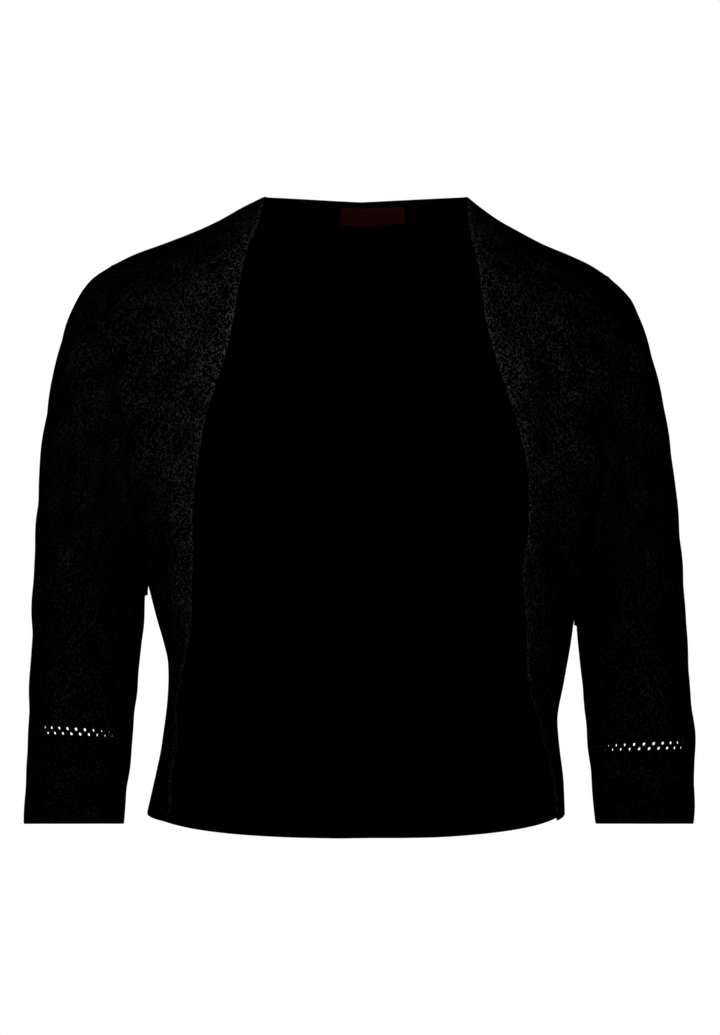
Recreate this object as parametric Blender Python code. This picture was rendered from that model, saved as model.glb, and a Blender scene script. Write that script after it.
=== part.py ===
"""A knitted open-front shrug with three-quarter sleeves, hollow and filled out as it is worn.

+X is the wearer's left, -Y the wearer's front and +Z up. The origin lies on the shoulder line, level with
the side neck points, between the shoulders that hold the garment up. All sizes below are in millimetres,
and "down" is the distance below that line. The back, the two fronts and the two sleeves are walls of cloth
that meet at the shoulder, side and armhole seams, with a hair's breadth left between them.
"""

import bpy
import numpy as np

MM = 0.001
CLOTH_THICKNESS = 1.8
SEAM_GAP = 0.3

# The body section is a squarish oval: x = half width * sin(t) ^ power, y = half depth * cos(t) ^ power
SECTION_SQUARENESS = 2.6
SECTION_POWER = 2.0 / SECTION_SQUARENESS

# Depth of the body in front of the shoulder line and behind it
DEPTH_COLUMNS = ("down", "front", "back")
DEPTHS = (
    (0, 84, 80),
    (60, 95, 93),
    (110, 106, 103),
    (165, 115, 108),
    (225, 119, 107),
    (285, 115, 102),
    (345, 107, 96),
    (400, 102, 94),
    (480, 100, 97),
)

# The widest line of the body on each side, from the underarm to the hem
SIDE_COLUMNS = ("down", "x")
SIDES = {
    "right": (
        (277, 152.8), (305, 145.6), (320, 141.2), (335, 137.8), (348, 137.2), (391, 141.8), (443, 153),
    ),
    "left": (
        (300, 154.4), (320, 151.6), (348, 146.8), (377, 141.8), (391, 142.8), (420, 146.2), (443, 147.2),
    ),
}
HEM_DOWN = 443.0
BACK_HEM_DROP = 26.0
FRONT_HEM_DROP = 3.0

# Above the underarm the body keeps widening, inside the sleeve, so that the armhole is an upright oval
SHOULDER_SPREAD = 75.0
SPREAD_HEIGHT = 110.0
SPREAD_POWER = 1.6

# The shoulder line, from the side neck point to the tip of the shoulder
SHOULDER_COLUMNS = ("x", "down")
SHOULDERS = {
    "right": ((69, 0), (85, 8), (100, 16.5), (117, 24.5), (140, 33.5), (163, 42), (178, 49.5)),
    "left": ((77, 0), (87, 8), (99, 16.5), (114, 25), (131, 34), (150, 42), (165, 49), (178, 57.5)),
}
ARMHOLE_COLUMNS = ("down", "x")
ARMHOLES = {
    "right": ((49.5, 178), (87, 180.5), (147, 168), (204, 161), (250, 154.5), (277, 152.8)),
    "left": ((57.5, 178), (87, 183), (147, 174), (204, 168), (255, 161), (300, 154.4)),
}

# The free edge of each front, from the side neck point to the hem
FRONT_EDGE_COLUMNS = ("down", "x")
FRONT_EDGES = {
    "right": (
        (0, 69), (22, 79.6), (66, 83.8), (92, 87.9), (117, 93.5), (157, 106), (183, 111.6),
        (228, 117.1), (299, 117.5), (331, 123.3), (364, 128.5), (394, 129.8), (417, 133.2), (445, 134.8),
    ),
    "left": (
        (0, 77), (26, 79), (59, 83.9), (78, 85.4), (104, 90), (143, 102.5), (184, 113.6), (204, 117.1),
        (233, 117.1), (272, 113.9), (302, 116.8), (344, 119.2), (380, 128.6), (413, 137.5), (445, 141),
    ),
}

# Back neck, a half oval seen from above, and the radius of the roll of cloth over the shoulder
NECK_BACK_Y = 58.0
NECK_RISE = 0.7
NECK_SIDE_RISE = 1.6
ROLL_CENTRE_BACK = 120.0
ROLL_NECK = 95.0
ROLL_TIP = 48.0
TOP_SETTLE = 60.0

# Sleeve rings: the outer and inner points seen from the front, the ring's middle and its half depth
SLEEVE_COLUMNS = ("outer_x", "outer_down", "inner_x", "inner_down", "middle_y", "half_depth")
SLEEVES = {
    "right": (
        (192.4, 59, 153.5, 278, 0, 71.0),
        (203.4, 74, 154.0, 279.5, 0, 70.0),
        (217.6, 115, 154.6, 287, -2, 65.0),
        (227.4, 172, 155.2, 303, -4, 60.5),
        (232.4, 233, 157.1, 322, -6, 57.0),
        (234.8, 290, 159.1, 346, -9, 53.0),
        (236.3, 345, 161.5, 371, -13, 49.0),
        (238.0, 399, 164.2, 402, -19, 46.0),
        (239.9, 449.5, 168.5, 449.5, -25, 43.5),
    ),
    "left": (
        (188.6, 67, 155.4, 301.2, 0, 71.5),
        (195.8, 76, 156.0, 302.5, 0, 71.0),
        (210.2, 117, 155.8, 308, -2, 66.0),
        (222.0, 173, 156.4, 317, -4, 61.5),
        (228.8, 233, 157.8, 332, -7, 57.0),
        (232.9, 290, 159.5, 351, -10, 53.0),
        (236.0, 345, 161.5, 371, -13, 49.0),
        (239.7, 399, 163.8, 402, -19, 46.0),
        (237.6, 449.5, 168.5, 449.5, -25, 43.5),
    ),
}
CUFF_TILT = np.radians(4.2)
ARMHOLE_FADE = 0.38
EVEN_FADE = 0.5

# Soft troughs in the cloth. Across is x on the front and back, and on a sleeve the way round it in
# degrees from its outer line over the front. A ridge has a depth below nought.
FOLD_COLUMNS = ("across", "down", "to_across", "to_down", "width", "depth")
FOLDS = {
    "front_left": (
        (124, 64, 136, 152, 11, 5.0),
        (136, 152, 137, 262, 12, 5.0),
        (120, 120, 119, 205, 12, -2.0),
        (152, 235, 134, 330, 14, 3.0),
    ),
    "front_right": (
        (-127, 120, -125, 205, 11, 3.5),
        (-148, 60, -150, 118, 13, 2.5),
        (-150, 240, -138, 318, 12, 3.0),
        (-131, 300, -141, 400, 14, -2.0),
    ),
    "back": (
        (-146, 215, -92, 335, 20, 5.0),
        (148, 225, 100, 330, 20, 5.0),
        (-128, 100, -124, 205, 17, 3.5),
        (126, 84, 130, 190, 17, 3.5),
        (-38, 300, -30, 440, 24, 3.5),
        (60, 320, 52, 450, 22, 3.0),
    ),
    "sleeve_right": (
        (98, 100, 86, 190, 13, 4.0),
        (128, 212, 60, 205, 10, 2.0),
        (142, 268, 104, 330, 12, 3.5),
        (228, 210, 262, 330, 14, 3.5),
        (300, 120, 285, 190, 14, 2.5),
    ),
    "sleeve_left": (
        (104, 120, 92, 215, 14, 3.5),
        (52, 130, 40, 190, 13, -2.0),
        (146, 290, 108, 345, 12, 3.5),
        (222, 225, 255, 320, 14, 4.0),
        (296, 130, 276, 215, 15, 2.5),
    ),
}
SLEEVE_FOLD_RADIUS = 48.0
FOLD_END = 1.6
SEAM_SOFTENING = (0.0, 0.35, 0.8)

# The edges of each panel's grid that are seams along their whole length, and those that no fold moves
SEAMS = {"back": ("first", "last"), "front": ("top", "last"), "sleeve": ("top",)}
STILL_EDGES = {"back": ("top", "first", "last"), "front": ("top", "last"), "sleeve": ("top",)}

# Where two pieces' directions agree this little, as a cosine, a seam is a deep crease, and where they agree
# this much, their rims lean together
CREASE_APART = 0.3
CREASE_TOGETHER = 0.8

# How many strips each panel is divided into
ROLL_ROWS = 5
ARMHOLE_ROWS = 8
SIDE_ROWS = 7
NECK_STRIPS = 6
SHOULDER_STRIPS = 7
SLEEVE_RINGS = 15

LABEL_WIDTH = 47.5
LABEL_HEIGHT = 13.2
LABEL_CENTRE_X = 9.5
LABEL_TOP_DOWN = 3.2
LABEL_THICKNESS = 0.8
LABEL_GAP = 0.4

HAND = {"right": -1.0, "left": 1.0}
COLOURS = {"knit": (0.006, 0.006, 0.0065, 1.0), "label": (0.045, 0.004, 0.009, 1.0)}
ROUGHNESS = {"knit": 0.86, "label": 0.6}


def column(table, columns, name):
    return np.array([row[columns.index(name)] for row in table], float)


def smooth(xs, ys, at):
    """The values between the rows of a table, on cubics that never overshoot, and level beyond its ends."""
    step = np.diff(xs)
    rise = np.diff(ys) / step
    slope = np.concatenate([rise[:1], np.zeros(len(rise) - 1), rise[-1:]])
    before, after = rise[:-1], rise[1:]
    same = before * after > 0
    lean_before, lean_after = 2 * step[1:] + step[:-1], step[1:] + 2 * step[:-1]
    safe_before, safe_after = np.where(same, before, 1.0), np.where(same, after, 1.0)
    mean = (lean_before + lean_after) / (lean_before / safe_before + lean_after / safe_after)
    slope[1:-1] = np.where(same, mean, 0.0)
    at = np.clip(at, xs[0], xs[-1])
    i = np.clip(np.searchsorted(xs, at, side="right") - 1, 0, len(step) - 1)
    s = (at - xs[i]) / step[i]
    level = ys[i] * (1 + 2 * s) * (1 - s) ** 2 + ys[i + 1] * (3 - 2 * s) * s**2
    lean = slope[i] * s * (1 - s) ** 2 - slope[i + 1] * (1 - s) * s**2
    return level + step[i] * lean


def read(table, columns, name, at):
    """The named column of a table, at these values of its first column."""
    return smooth(column(table, columns, columns[0]), column(table, columns, name), at)


def eased(s):
    s = np.clip(s, 0.0, 1.0)
    return s * s * (3 - 2 * s)


def mixed(a, b, share):
    return a + (b - a) * share


def half_width(side, down):
    """Half the body's width: the side's own line, and above the underarm a spread that grows upwards."""
    underarm, width = SIDES[side][0]
    above = np.clip(underarm - down, 0.0, None)
    spread = SHOULDER_SPREAD * (1 - np.exp(-((above / SPREAD_HEIGHT) ** SPREAD_POWER)))
    return np.where(above > 0, width + spread, read(SIDES[side], SIDE_COLUMNS, "x", down))


def section_angle(x, width):
    """The angle t of the body section at this distance from its middle."""
    return np.arcsin(np.clip(x / width, 0.0, 1.0) ** (1 / SECTION_POWER))


def seam_angle(side, down):
    """The angle t of the armhole seam, which is a right angle at the side seam below it."""
    angle = section_angle(read(ARMHOLES[side], ARMHOLE_COLUMNS, "x", down), half_width(side, down))
    return np.where(down < SIDES[side][0][0] - 1e-6, angle, np.pi / 2)


def row_down(v, top, roll, underarm, hem, crowding):
    """How far down a point is: v runs over the roll to 1, beside the armhole to 2 and down the side to 3.
    Rows crowd together above the underarm where crowding is 1, because the armhole turns sharply there."""
    over = top + roll * (1 - np.cos(np.pi / 2 * np.clip(v, 0, 1)))
    share = np.clip(v - 1, 0, 1)
    beside = mixed(top + roll, underarm, mixed(share, np.sin(np.pi / 2 * share), crowding))
    below = mixed(underarm, hem, np.clip(v - 2, 0, 1))
    return np.where(v <= 1, over, np.where(v <= 2, beside, below))


def roll_share(fall, roll, roundness):
    """How much of the body's depth is reached this far down: on a quarter circle or a softer slope."""
    s = np.clip(fall / roll, 0.0, 1.0)
    return mixed(np.sin(np.pi / 2 * s), np.sqrt(1 - (1 - s) ** 2), roundness)


def body_point(side, down, top_x, top_y, top_down, angle, depth, roll, roundness):
    """A point of the body's surface: the section's point, drawn in to the top edge as it nears it."""
    fall = down - top_down
    x = mixed(top_x, half_width(side, down) * np.sin(angle) ** SECTION_POWER, eased(fall / TOP_SETTLE))
    y = mixed(top_y, depth * np.cos(angle) ** SECTION_POWER, roll_share(fall, roll, roundness))
    return np.stack([HAND[side] * x, y, -down], axis=-1)


def front_points(side, q, v):
    """Points of a front: q from its free edge to the side, v from the shoulder seam to the hem."""
    neck_x, tip_x = SHOULDERS[side][0][0], SHOULDERS[side][-1][0]
    top_x = mixed(neck_x, tip_x, q)
    top_down = read(SHOULDERS[side], SHOULDER_COLUMNS, "down", top_x)
    roll = mixed(ROLL_NECK, ROLL_TIP, q)
    underarm = SIDES[side][0][0]
    hem = HEM_DOWN + FRONT_HEM_DROP * (1 - q)
    down = row_down(v, top_down, roll, underarm, hem, eased(q))
    edge = section_angle(read(FRONT_EDGES[side], FRONT_EDGE_COLUMNS, "x", down), half_width(side, down))
    angle = mixed(edge, seam_angle(side, down), q)
    depth = -read(DEPTHS, DEPTH_COLUMNS, "front", down)
    return body_point(side, down, top_x, 0.0, top_down, angle, depth, roll, 1.0)


def back_points(side, u, v):
    """Points of half the back: u from its middle to the side, v from the neck or shoulder to the hem."""
    neck_share = NECK_STRIPS / (NECK_STRIPS + SHOULDER_STRIPS)
    neck_x, tip_x = SHOULDERS[side][0][0], SHOULDERS[side][-1][0]
    round_neck = np.pi / 2 * np.clip(u / neck_share, 0, 1)
    along = np.clip((u - neck_share) / (1 - neck_share), 0, 1)
    top_x = np.where(u < neck_share, neck_x * np.sin(round_neck), mixed(neck_x, tip_x, along))
    top_y = NECK_BACK_Y * np.cos(round_neck)
    rise = NECK_RISE * np.cos(round_neck) + NECK_SIDE_RISE * np.sin(2 * round_neck)
    top_down = read(SHOULDERS[side], SHOULDER_COLUMNS, "down", top_x) - rise
    roll = mixed(mixed(ROLL_CENTRE_BACK, ROLL_NECK, np.sin(round_neck)), ROLL_TIP, along)
    middle = np.mean([rows[0][0] for rows in SIDES.values()])
    underarm = mixed(middle, SIDES[side][0][0], eased(u))
    hem = HEM_DOWN + BACK_HEM_DROP * np.cos(np.pi / 2 * u)
    down = row_down(v, top_down, roll, underarm, hem, eased(u))
    angle = u * seam_angle(side, down)
    depth = read(DEPTHS, DEPTH_COLUMNS, "back", down)
    return body_point(side, down, top_x, top_y, top_down, angle, depth, roll, eased(u / neck_share))


def rows():
    """The values of v for the rows of points from the shoulder to the hem."""
    roll = np.linspace(0, 1, ROLL_ROWS + 1)
    armhole = np.linspace(1, 2, ARMHOLE_ROWS + 1)[1:]
    below = np.linspace(2, 3, SIDE_ROWS + 1)[1:]
    return np.concatenate([roll, armhole, below])


def front_grid(side):
    q, v = np.meshgrid(np.linspace(0, 1, SHOULDER_STRIPS + 1), rows())
    return front_points(side, q, v)


def back_grid():
    """The whole back, from the wearer's right to the left."""
    u, v = np.meshgrid(np.linspace(0, 1, NECK_STRIPS + SHOULDER_STRIPS + 1), rows())
    return np.concatenate([back_points("right", u, v)[:, ::-1], back_points("left", u, v)[:, 1:]], axis=1)


def armhole_loop(side):
    """The armhole seam as a loop: down the front from the tip of the shoulder, and up the back."""
    v = rows()[: ROLL_ROWS + ARMHOLE_ROWS + 1]
    end = np.ones_like(v)
    return np.concatenate([front_points(side, end, v), back_points(side, end, v)[-2:0:-1]])


def sleeve_rows(side, s):
    """The sleeve's table read at s, from 0 at the armhole, which is its first row, to 1 at the cuff."""
    tip, underarm = ARMHOLES[side][0], ARMHOLES[side][-1]
    depth = np.abs(armhole_loop(side)[:, 1]).max()
    table = ((tip[1], tip[0], underarm[1], underarm[0], 0.0, depth), *SLEEVES[side])
    middles = np.array([((row[0] + row[2]) / 2, (row[1] + row[3]) / 2) for row in table])
    along = np.concatenate([[0], np.cumsum(np.hypot(*np.diff(middles, axis=0).T))])
    share = along / along[-1]
    return {name: smooth(share, column(table, SLEEVE_COLUMNS, name), s) for name in SLEEVE_COLUMNS}


def sleeve_points(side, s, turn):
    """Rings of the sleeve: each is an oval about its middle."""
    hand = HAND[side]
    ring = sleeve_rows(side, s)
    zero = np.zeros_like(s)
    outer = np.stack([hand * ring["outer_x"], zero, -ring["outer_down"]], axis=-1)
    inner = np.stack([hand * ring["inner_x"], zero, -ring["inner_down"]], axis=-1)
    middle, reach = (outer + inner) / 2, (outer - inner) / 2
    middle[..., 1] = ring["middle_y"]
    tilt = CUFF_TILT * eased(s)
    forward = ring["half_depth"][..., None] * np.stack([zero, -np.cos(tilt), np.sin(tilt)], axis=-1)
    return middle + reach * np.cos(turn)[..., None] + forward * np.sin(turn)[..., None]


def sleeve_grid(side):
    """The sleeve's points, ring by ring: near the armhole a ring takes up the seam's own shape."""
    loop = armhole_loop(side)
    count = len(loop)
    tip, underarm = loop[0], loop[count // 2]
    middle, reach = (tip + underarm) / 2, (tip - underarm) / 2
    share = np.clip((loop - middle) @ reach / (reach @ reach), -1, 1)
    turn = np.arccos(share)
    turn[count // 2 + 1 :] = 2 * np.pi - turn[count // 2 + 1 :]
    even = 2 * np.pi * np.arange(count) / count
    s, start = np.meshgrid(np.linspace(0, 1, SLEEVE_RINGS + 1), turn, indexing="ij")
    grid = sleeve_points(side, s, mixed(start, even, eased(s / EVEN_FADE)))
    fade = (1 - eased(s / ARMHOLE_FADE))[..., None]
    return grid + fade * (loop - sleeve_points(side, np.zeros(count), turn))


def normals(grid, closed):
    """The direction out of the garment at each point of a grid; a closed grid goes round along each row."""
    ring = np.concatenate([grid[:, -1:], grid, grid[:, :1]], axis=1) if closed else grid
    out = np.cross(np.gradient(ring, axis=1), np.gradient(ring, axis=0))
    out /= np.maximum(np.linalg.norm(out, axis=-1, keepdims=True), 1e-9)
    out = out[:, 1:-1] if closed else out
    away = grid - grid.mean(axis=1, keepdims=True) if closed else grid * np.array([1.0, 1.0, 0.0])
    return out * np.sign(np.sum(out * away))


def along_fold(place, fold):
    """The depth of one fold at these flat places: a soft trough along a line, fading at its ends."""
    start = np.array([fold["across"], fold["down"]])
    line = np.array([fold["to_across"], fold["to_down"]]) - start
    length = np.linalg.norm(line)
    along = (place - start) @ line / length
    off = (place - start) @ np.array([-line[1], line[0]]) / length
    past = np.clip(np.maximum(-along, along - length), 0, None)
    spread = (off / fold["width"]) ** 2 + (past / (FOLD_END * fold["width"])) ** 2
    return fold["depth"] * np.exp(-spread)


def edge_fade(grid, edges):
    """Nought at these edges of a grid and 1 from the fourth row in, so that the seams stay in place."""
    fade = np.ones(grid.shape[:2])
    for edge in edges:
        view = {"top": fade, "first": fade.T, "last": fade.T[::-1]}[edge]
        view[: len(SEAM_SOFTENING)] *= np.array(SEAM_SOFTENING)[:, None]
    return fade


def moved_in(grid, edges):
    """The grid with its seam edges drawn half the seam gap towards its own middle."""
    grid = grid.copy()
    for edge in edges:
        turned = grid.swapaxes(0, 1)
        view = {"top": grid, "first": turned, "last": turned[::-1]}[edge]
        inward = view[1] - view[0]
        view[0] += inward * (SEAM_GAP / 2 / np.linalg.norm(inward, axis=-1, keepdims=True))
    return grid


def wall(grid, out, thickness, closed):
    """Vertices and faces of a wall of this thickness: an outer skin on the grid, an inner one and rims."""
    rows_count, columns_count = grid.shape[:2]
    vertices = np.concatenate([grid.reshape(-1, 3), (grid - out * thickness).reshape(-1, 3)])
    index = np.arange(rows_count * columns_count).reshape(rows_count, columns_count)
    if closed:
        index = np.concatenate([index, index[:, :1]], axis=1)
    corners = (index[:-1, :-1], index[1:, :-1], index[1:, 1:], index[:-1, 1:])
    skin = np.stack(corners, axis=-1).reshape(-1, 4)
    shift = rows_count * columns_count
    rims = [index[0], index[-1, ::-1]]
    if not closed:
        rims += [index[::-1, 0], index[:, -1]]
    faces = [skin, skin[:, ::-1] + shift]
    for rim in rims:
        faces.append(np.stack([rim[:-1], rim[1:], rim[1:] + shift, rim[:-1] + shift], axis=-1))
    faces = np.concatenate(faces)
    faces_out = np.cross(np.gradient(grid, axis=0), np.gradient(grid, axis=1))
    return vertices, faces if np.sum(faces_out * out) > 0 else faces[:, ::-1]


def material(name):
    """A plain finish with this part's colour and roughness."""
    made = bpy.data.materials.get(name) or bpy.data.materials.new(name)
    made.use_nodes = True
    shader = made.node_tree.nodes["Principled BSDF"]
    shader.inputs["Base Color"].default_value = COLOURS[name]
    shader.inputs["Roughness"].default_value = ROUGHNESS[name]
    shader.inputs["Metallic"].default_value = 0.0
    return made


def add_object(name, vertices, faces, finish):
    mesh = bpy.data.meshes.new(name)
    mesh.from_pydata((vertices * MM).tolist(), [], faces.tolist())
    mesh.validate()
    mesh.shade_smooth()
    mesh.set_sharp_from_angle(angle=np.radians(50))
    mesh.materials.append(material(finish))
    made = bpy.data.objects.new(name, mesh)
    bpy.context.scene.collection.objects.link(made)
    return made


def average(*directions):
    total = sum(directions)
    return total / np.linalg.norm(total, axis=-1, keepdims=True)


def leaning(own, other):
    """A rim's direction: halfway to its neighbour's where they agree, and its own across a deep crease."""
    agree = np.sum(own * other, axis=-1, keepdims=True)
    return average(own, other * eased((agree - CREASE_APART) / (CREASE_TOGETHER - CREASE_APART)))


def panels():
    """Each cloth piece's grid of points and the directions out of it, shared along the seams."""
    grids = {"back": back_grid()}
    for side in HAND:
        grids[f"front_{side}"] = front_grid(side)
        grids[f"sleeve_{side}"] = sleeve_grid(side)
    outs = {name: normals(grid, name.startswith("sleeve")) for name, grid in grids.items()}
    share_seams(outs)
    return grids, outs


def share_seams(outs):
    """Brings the directions on both sides of each seam together, so that the rims stand side by side."""
    loop_rows = ROLL_ROWS + ARMHOLE_ROWS + 1
    back = outs["back"]
    for side in HAND:
        front, ring = outs[f"front_{side}"], outs[f"sleeve_{side}"][0]
        half = back[:, ::-1] if side == "right" else back
        seam = average(front[0], half[0, -SHOULDER_STRIPS - 1 :])
        front[0], half[0, -SHOULDER_STRIPS - 1 :] = seam, seam
        below = average(front[loop_rows - 1 :, -1], half[loop_rows - 1 :, -1])
        front[loop_rows - 1 :, -1], half[loop_rows - 1 :, -1] = below, below
        body = np.concatenate([front[:loop_rows, -1], half[loop_rows - 2 : 0 : -1, -1]])
        body_rim, ring_rim = leaning(body, ring), leaning(ring, body)
        front[: loop_rows - 1, -1] = body_rim[: loop_rows - 1]
        half[: loop_rows - 1, -1] = np.concatenate([body_rim[:1], body_rim[: loop_rows - 1 : -1]])
        ring[:] = ring_rim


def folded(name, grid, out):
    """The grid with its folds pressed in, away from the seams."""
    round_it = name.startswith("sleeve")
    across, spread = grid[..., 0], 1.0
    if round_it:
        spread = np.radians(SLEEVE_FOLD_RADIUS)
        across = np.broadcast_to(360 * spread * np.arange(grid.shape[1]) / grid.shape[1], across.shape)
    place = np.stack([across, -grid[..., 2]], axis=-1)
    depth = np.zeros(grid.shape[:2])
    for row in FOLDS[name]:
        fold = dict(zip(FOLD_COLUMNS, row))
        fold["across"], fold["to_across"] = fold["across"] * spread, fold["to_across"] * spread
        depth += along_fold(place, fold)
    depth *= edge_fade(grid, STILL_EDGES[name.split("_")[0]])
    return grid - out * depth[..., None]


def make_cloth():
    grids, outs = panels()
    for name, grid in grids.items():
        grid = folded(name, grid, outs[name])
        grid = moved_in(grid, SEAMS[name.split("_")[0]])
        if name == "back":
            shoulders = moved_in(grid, ("top",))
            grid[0, :SHOULDER_STRIPS], grid[0, -SHOULDER_STRIPS:] = (
                shoulders[0, :SHOULDER_STRIPS],
                shoulders[0, -SHOULDER_STRIPS:],
            )
            make_label(grid, outs[name])
        vertices, faces = wall(grid, outs[name], CLOTH_THICKNESS, name.startswith("sleeve"))
        add_object(name, vertices, faces, "knit")


def between(grid, row, place):
    """The grid read between its rows and columns, along the straight lines that join its points."""
    row, place = np.meshgrid(row, place, indexing="ij")
    i = np.minimum(row.astype(int), grid.shape[0] - 2)
    j = np.minimum(place.astype(int), grid.shape[1] - 2)
    down, across = (row - i)[..., None], (place - j)[..., None]
    upper = mixed(grid[i, j], grid[i, j + 1], across)
    lower = mixed(grid[i + 1, j], grid[i + 1, j + 1], across)
    return mixed(upper, lower, down)


def places_between(values, first, last):
    """Where two values and those that lie between them come in a rising row of values."""
    chosen = [first, *values[(values > first) & (values < last)], last]
    return np.interp(chosen, values, np.arange(len(values)))


def make_label(back, out):
    """The woven neck label: a strip of the back's own surface just below the neck edge, moved inside it."""
    row = places_between(-back[:, back.shape[1] // 2, 2], LABEL_TOP_DOWN, LABEL_TOP_DOWN + LABEL_HEIGHT)
    first, last = LABEL_CENTRE_X - LABEL_WIDTH / 2, LABEL_CENTRE_X + LABEL_WIDTH / 2
    place = places_between(back[0, :, 0], first, last)
    grid, out = between(back, row, place), between(out, row, place)
    vertices, faces = wall(grid - out * (CLOTH_THICKNESS + LABEL_GAP), out, LABEL_THICKNESS, False)
    add_object("neck_label", vertices, faces, "label")


def main():
    for old in list(bpy.data.objects):
        bpy.data.objects.remove(old, do_unlink=True)
    make_cloth()


main()
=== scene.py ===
"""The looks of a knitted open-front shrug: fine black stockinette, an openwork row above each cuff, joined seams
and a woven neck label.

+X is the wearer's left, -Y the wearer's front and +Z up, and the origin lies on the shoulder line. The sizes in
the tables are millimetres, and "down" is the distance below that line. Meshes, texture coordinates and
properties are in metres.
"""

import bpy
import numpy as np
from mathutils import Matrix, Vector


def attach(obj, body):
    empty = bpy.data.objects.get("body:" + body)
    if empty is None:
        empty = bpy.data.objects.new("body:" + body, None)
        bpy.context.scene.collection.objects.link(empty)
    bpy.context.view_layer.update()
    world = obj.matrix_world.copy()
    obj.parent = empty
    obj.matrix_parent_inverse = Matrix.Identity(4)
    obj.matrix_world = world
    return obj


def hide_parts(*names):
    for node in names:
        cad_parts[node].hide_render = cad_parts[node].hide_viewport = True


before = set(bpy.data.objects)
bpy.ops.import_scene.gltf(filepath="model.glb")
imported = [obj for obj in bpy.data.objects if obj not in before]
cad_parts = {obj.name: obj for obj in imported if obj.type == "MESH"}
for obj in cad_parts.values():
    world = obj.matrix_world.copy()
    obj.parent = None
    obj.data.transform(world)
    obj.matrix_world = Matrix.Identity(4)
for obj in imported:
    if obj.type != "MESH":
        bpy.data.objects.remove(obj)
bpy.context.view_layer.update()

bl_info = {
    "name": "Knitted Shrug",
    "version": (1, 0, 0),
    "blender": (4, 5, 0),
    "location": "View3D > Sidebar > Shrug",
    "description": "Builds the cloth, seams, label and studio of a knitted open-front shrug",
    "category": "Add Mesh",
}

MM = 0.001
NEARLY = 1e-6
SHORTEST = 1e-12
HAND = {"right": -1.0, "left": 1.0}

# The body section is a squarish oval: x = half width * sin(t) ^ power, y = half depth * cos(t) ^ power
SECTION_SQUARENESS = 2.6
SECTION_POWER = 2.0 / SECTION_SQUARENESS

# Depth of the body in front of the shoulder line and behind it
DEPTH_COLUMNS = ("down", "front", "back")
DEPTHS = (
    (0, 84, 80),
    (60, 95, 93),
    (110, 106, 103),
    (165, 115, 108),
    (225, 119, 107),
    (285, 115, 102),
    (345, 107, 96),
    (400, 102, 94),
    (480, 100, 97),
)

# The widest line of the body on each side, from the underarm to the hem
SIDE_COLUMNS = ("down", "x")
SIDES = {
    "right": ((277, 152.8), (305, 145.6), (320, 141.2), (335, 137.8), (348, 137.2), (391, 141.8), (443, 153)),
    "left": ((300, 154.4), (320, 151.6), (348, 146.8), (377, 141.8), (391, 142.8), (420, 146.2), (443, 147.2)),
}
HEM_DOWN = 443.0
BACK_HEM_DROP = 26.0
FRONT_HEM_DROP = 3.0

# Above the underarm the body keeps widening, inside the sleeve, so that the armhole is an upright oval
SHOULDER_SPREAD = 75.0
SPREAD_HEIGHT = 110.0
SPREAD_POWER = 1.6

# The shoulder line, from the side neck point to the tip of the shoulder
SHOULDER_COLUMNS = ("x", "down")
SHOULDERS = {
    "right": ((69, 0), (85, 8), (100, 16.5), (117, 24.5), (140, 33.5), (163, 42), (178, 49.5)),
    "left": ((77, 0), (87, 8), (99, 16.5), (114, 25), (131, 34), (150, 42), (165, 49), (178, 57.5)),
}
ARMHOLE_COLUMNS = ("down", "x")
ARMHOLES = {
    "right": ((49.5, 178), (87, 180.5), (147, 168), (204, 161), (250, 154.5), (277, 152.8)),
    "left": ((57.5, 178), (87, 183), (147, 174), (204, 168), (255, 161), (300, 154.4)),
}

# The free edge of each front, from the side neck point to the hem
FRONT_EDGE_COLUMNS = ("down", "x")
FRONT_EDGES = {
    "right": (
        (0, 69), (22, 79.6), (66, 83.8), (92, 87.9), (117, 93.5), (157, 106), (183, 111.6),
        (228, 117.1), (299, 117.5), (331, 123.3), (364, 128.5), (394, 129.8), (417, 133.2), (445, 134.8),
    ),
    "left": (
        (0, 77), (26, 79), (59, 83.9), (78, 85.4), (104, 90), (143, 102.5), (184, 113.6), (204, 117.1),
        (233, 117.1), (272, 113.9), (302, 116.8), (344, 119.2), (380, 128.6), (413, 137.5), (445, 141),
    ),
}

# Back neck, a half oval seen from above, and the radius of the roll of cloth over the shoulder
NECK_BACK_Y = 58.0
NECK_RISE = 0.7
NECK_SIDE_RISE = 1.6
ROLL_CENTRE_BACK = 120.0
ROLL_NECK = 95.0
ROLL_TIP = 48.0
TOP_SETTLE = 60.0

# Sleeve rings: the outer and inner points seen from the front, the ring's middle and its half depth
SLEEVE_COLUMNS = ("outer_x", "outer_down", "inner_x", "inner_down", "middle_y", "half_depth")
SLEEVES = {
    "right": (
        (192.4, 59, 153.5, 278, 0, 71.0),
        (203.4, 74, 154.0, 279.5, 0, 70.0),
        (217.6, 115, 154.6, 287, -2, 65.0),
        (227.4, 172, 155.2, 303, -4, 60.5),
        (232.4, 233, 157.1, 322, -6, 57.0),
        (234.8, 290, 159.1, 346, -9, 53.0),
        (236.3, 345, 161.5, 371, -13, 49.0),
        (238.0, 399, 164.2, 402, -19, 46.0),
        (239.9, 449.5, 168.5, 449.5, -25, 43.5),
    ),
    "left": (
        (188.6, 67, 155.4, 301.2, 0, 71.5),
        (195.8, 76, 156.0, 302.5, 0, 71.0),
        (210.2, 117, 155.8, 308, -2, 66.0),
        (222.0, 173, 156.4, 317, -4, 61.5),
        (228.8, 233, 157.8, 332, -7, 57.0),
        (232.9, 290, 159.5, 351, -10, 53.0),
        (236.0, 345, 161.5, 371, -13, 49.0),
        (239.7, 399, 163.8, 402, -19, 46.0),
        (237.6, 449.5, 168.5, 449.5, -25, 43.5),
    ),
}
CUFF_TILT = np.radians(4.2)
ARMHOLE_FADE = 0.38
EVEN_FADE = 0.5
CUFF_HALF_WIDTH = 37.0
CUFF_HALF_DEPTH = 45.0

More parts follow.
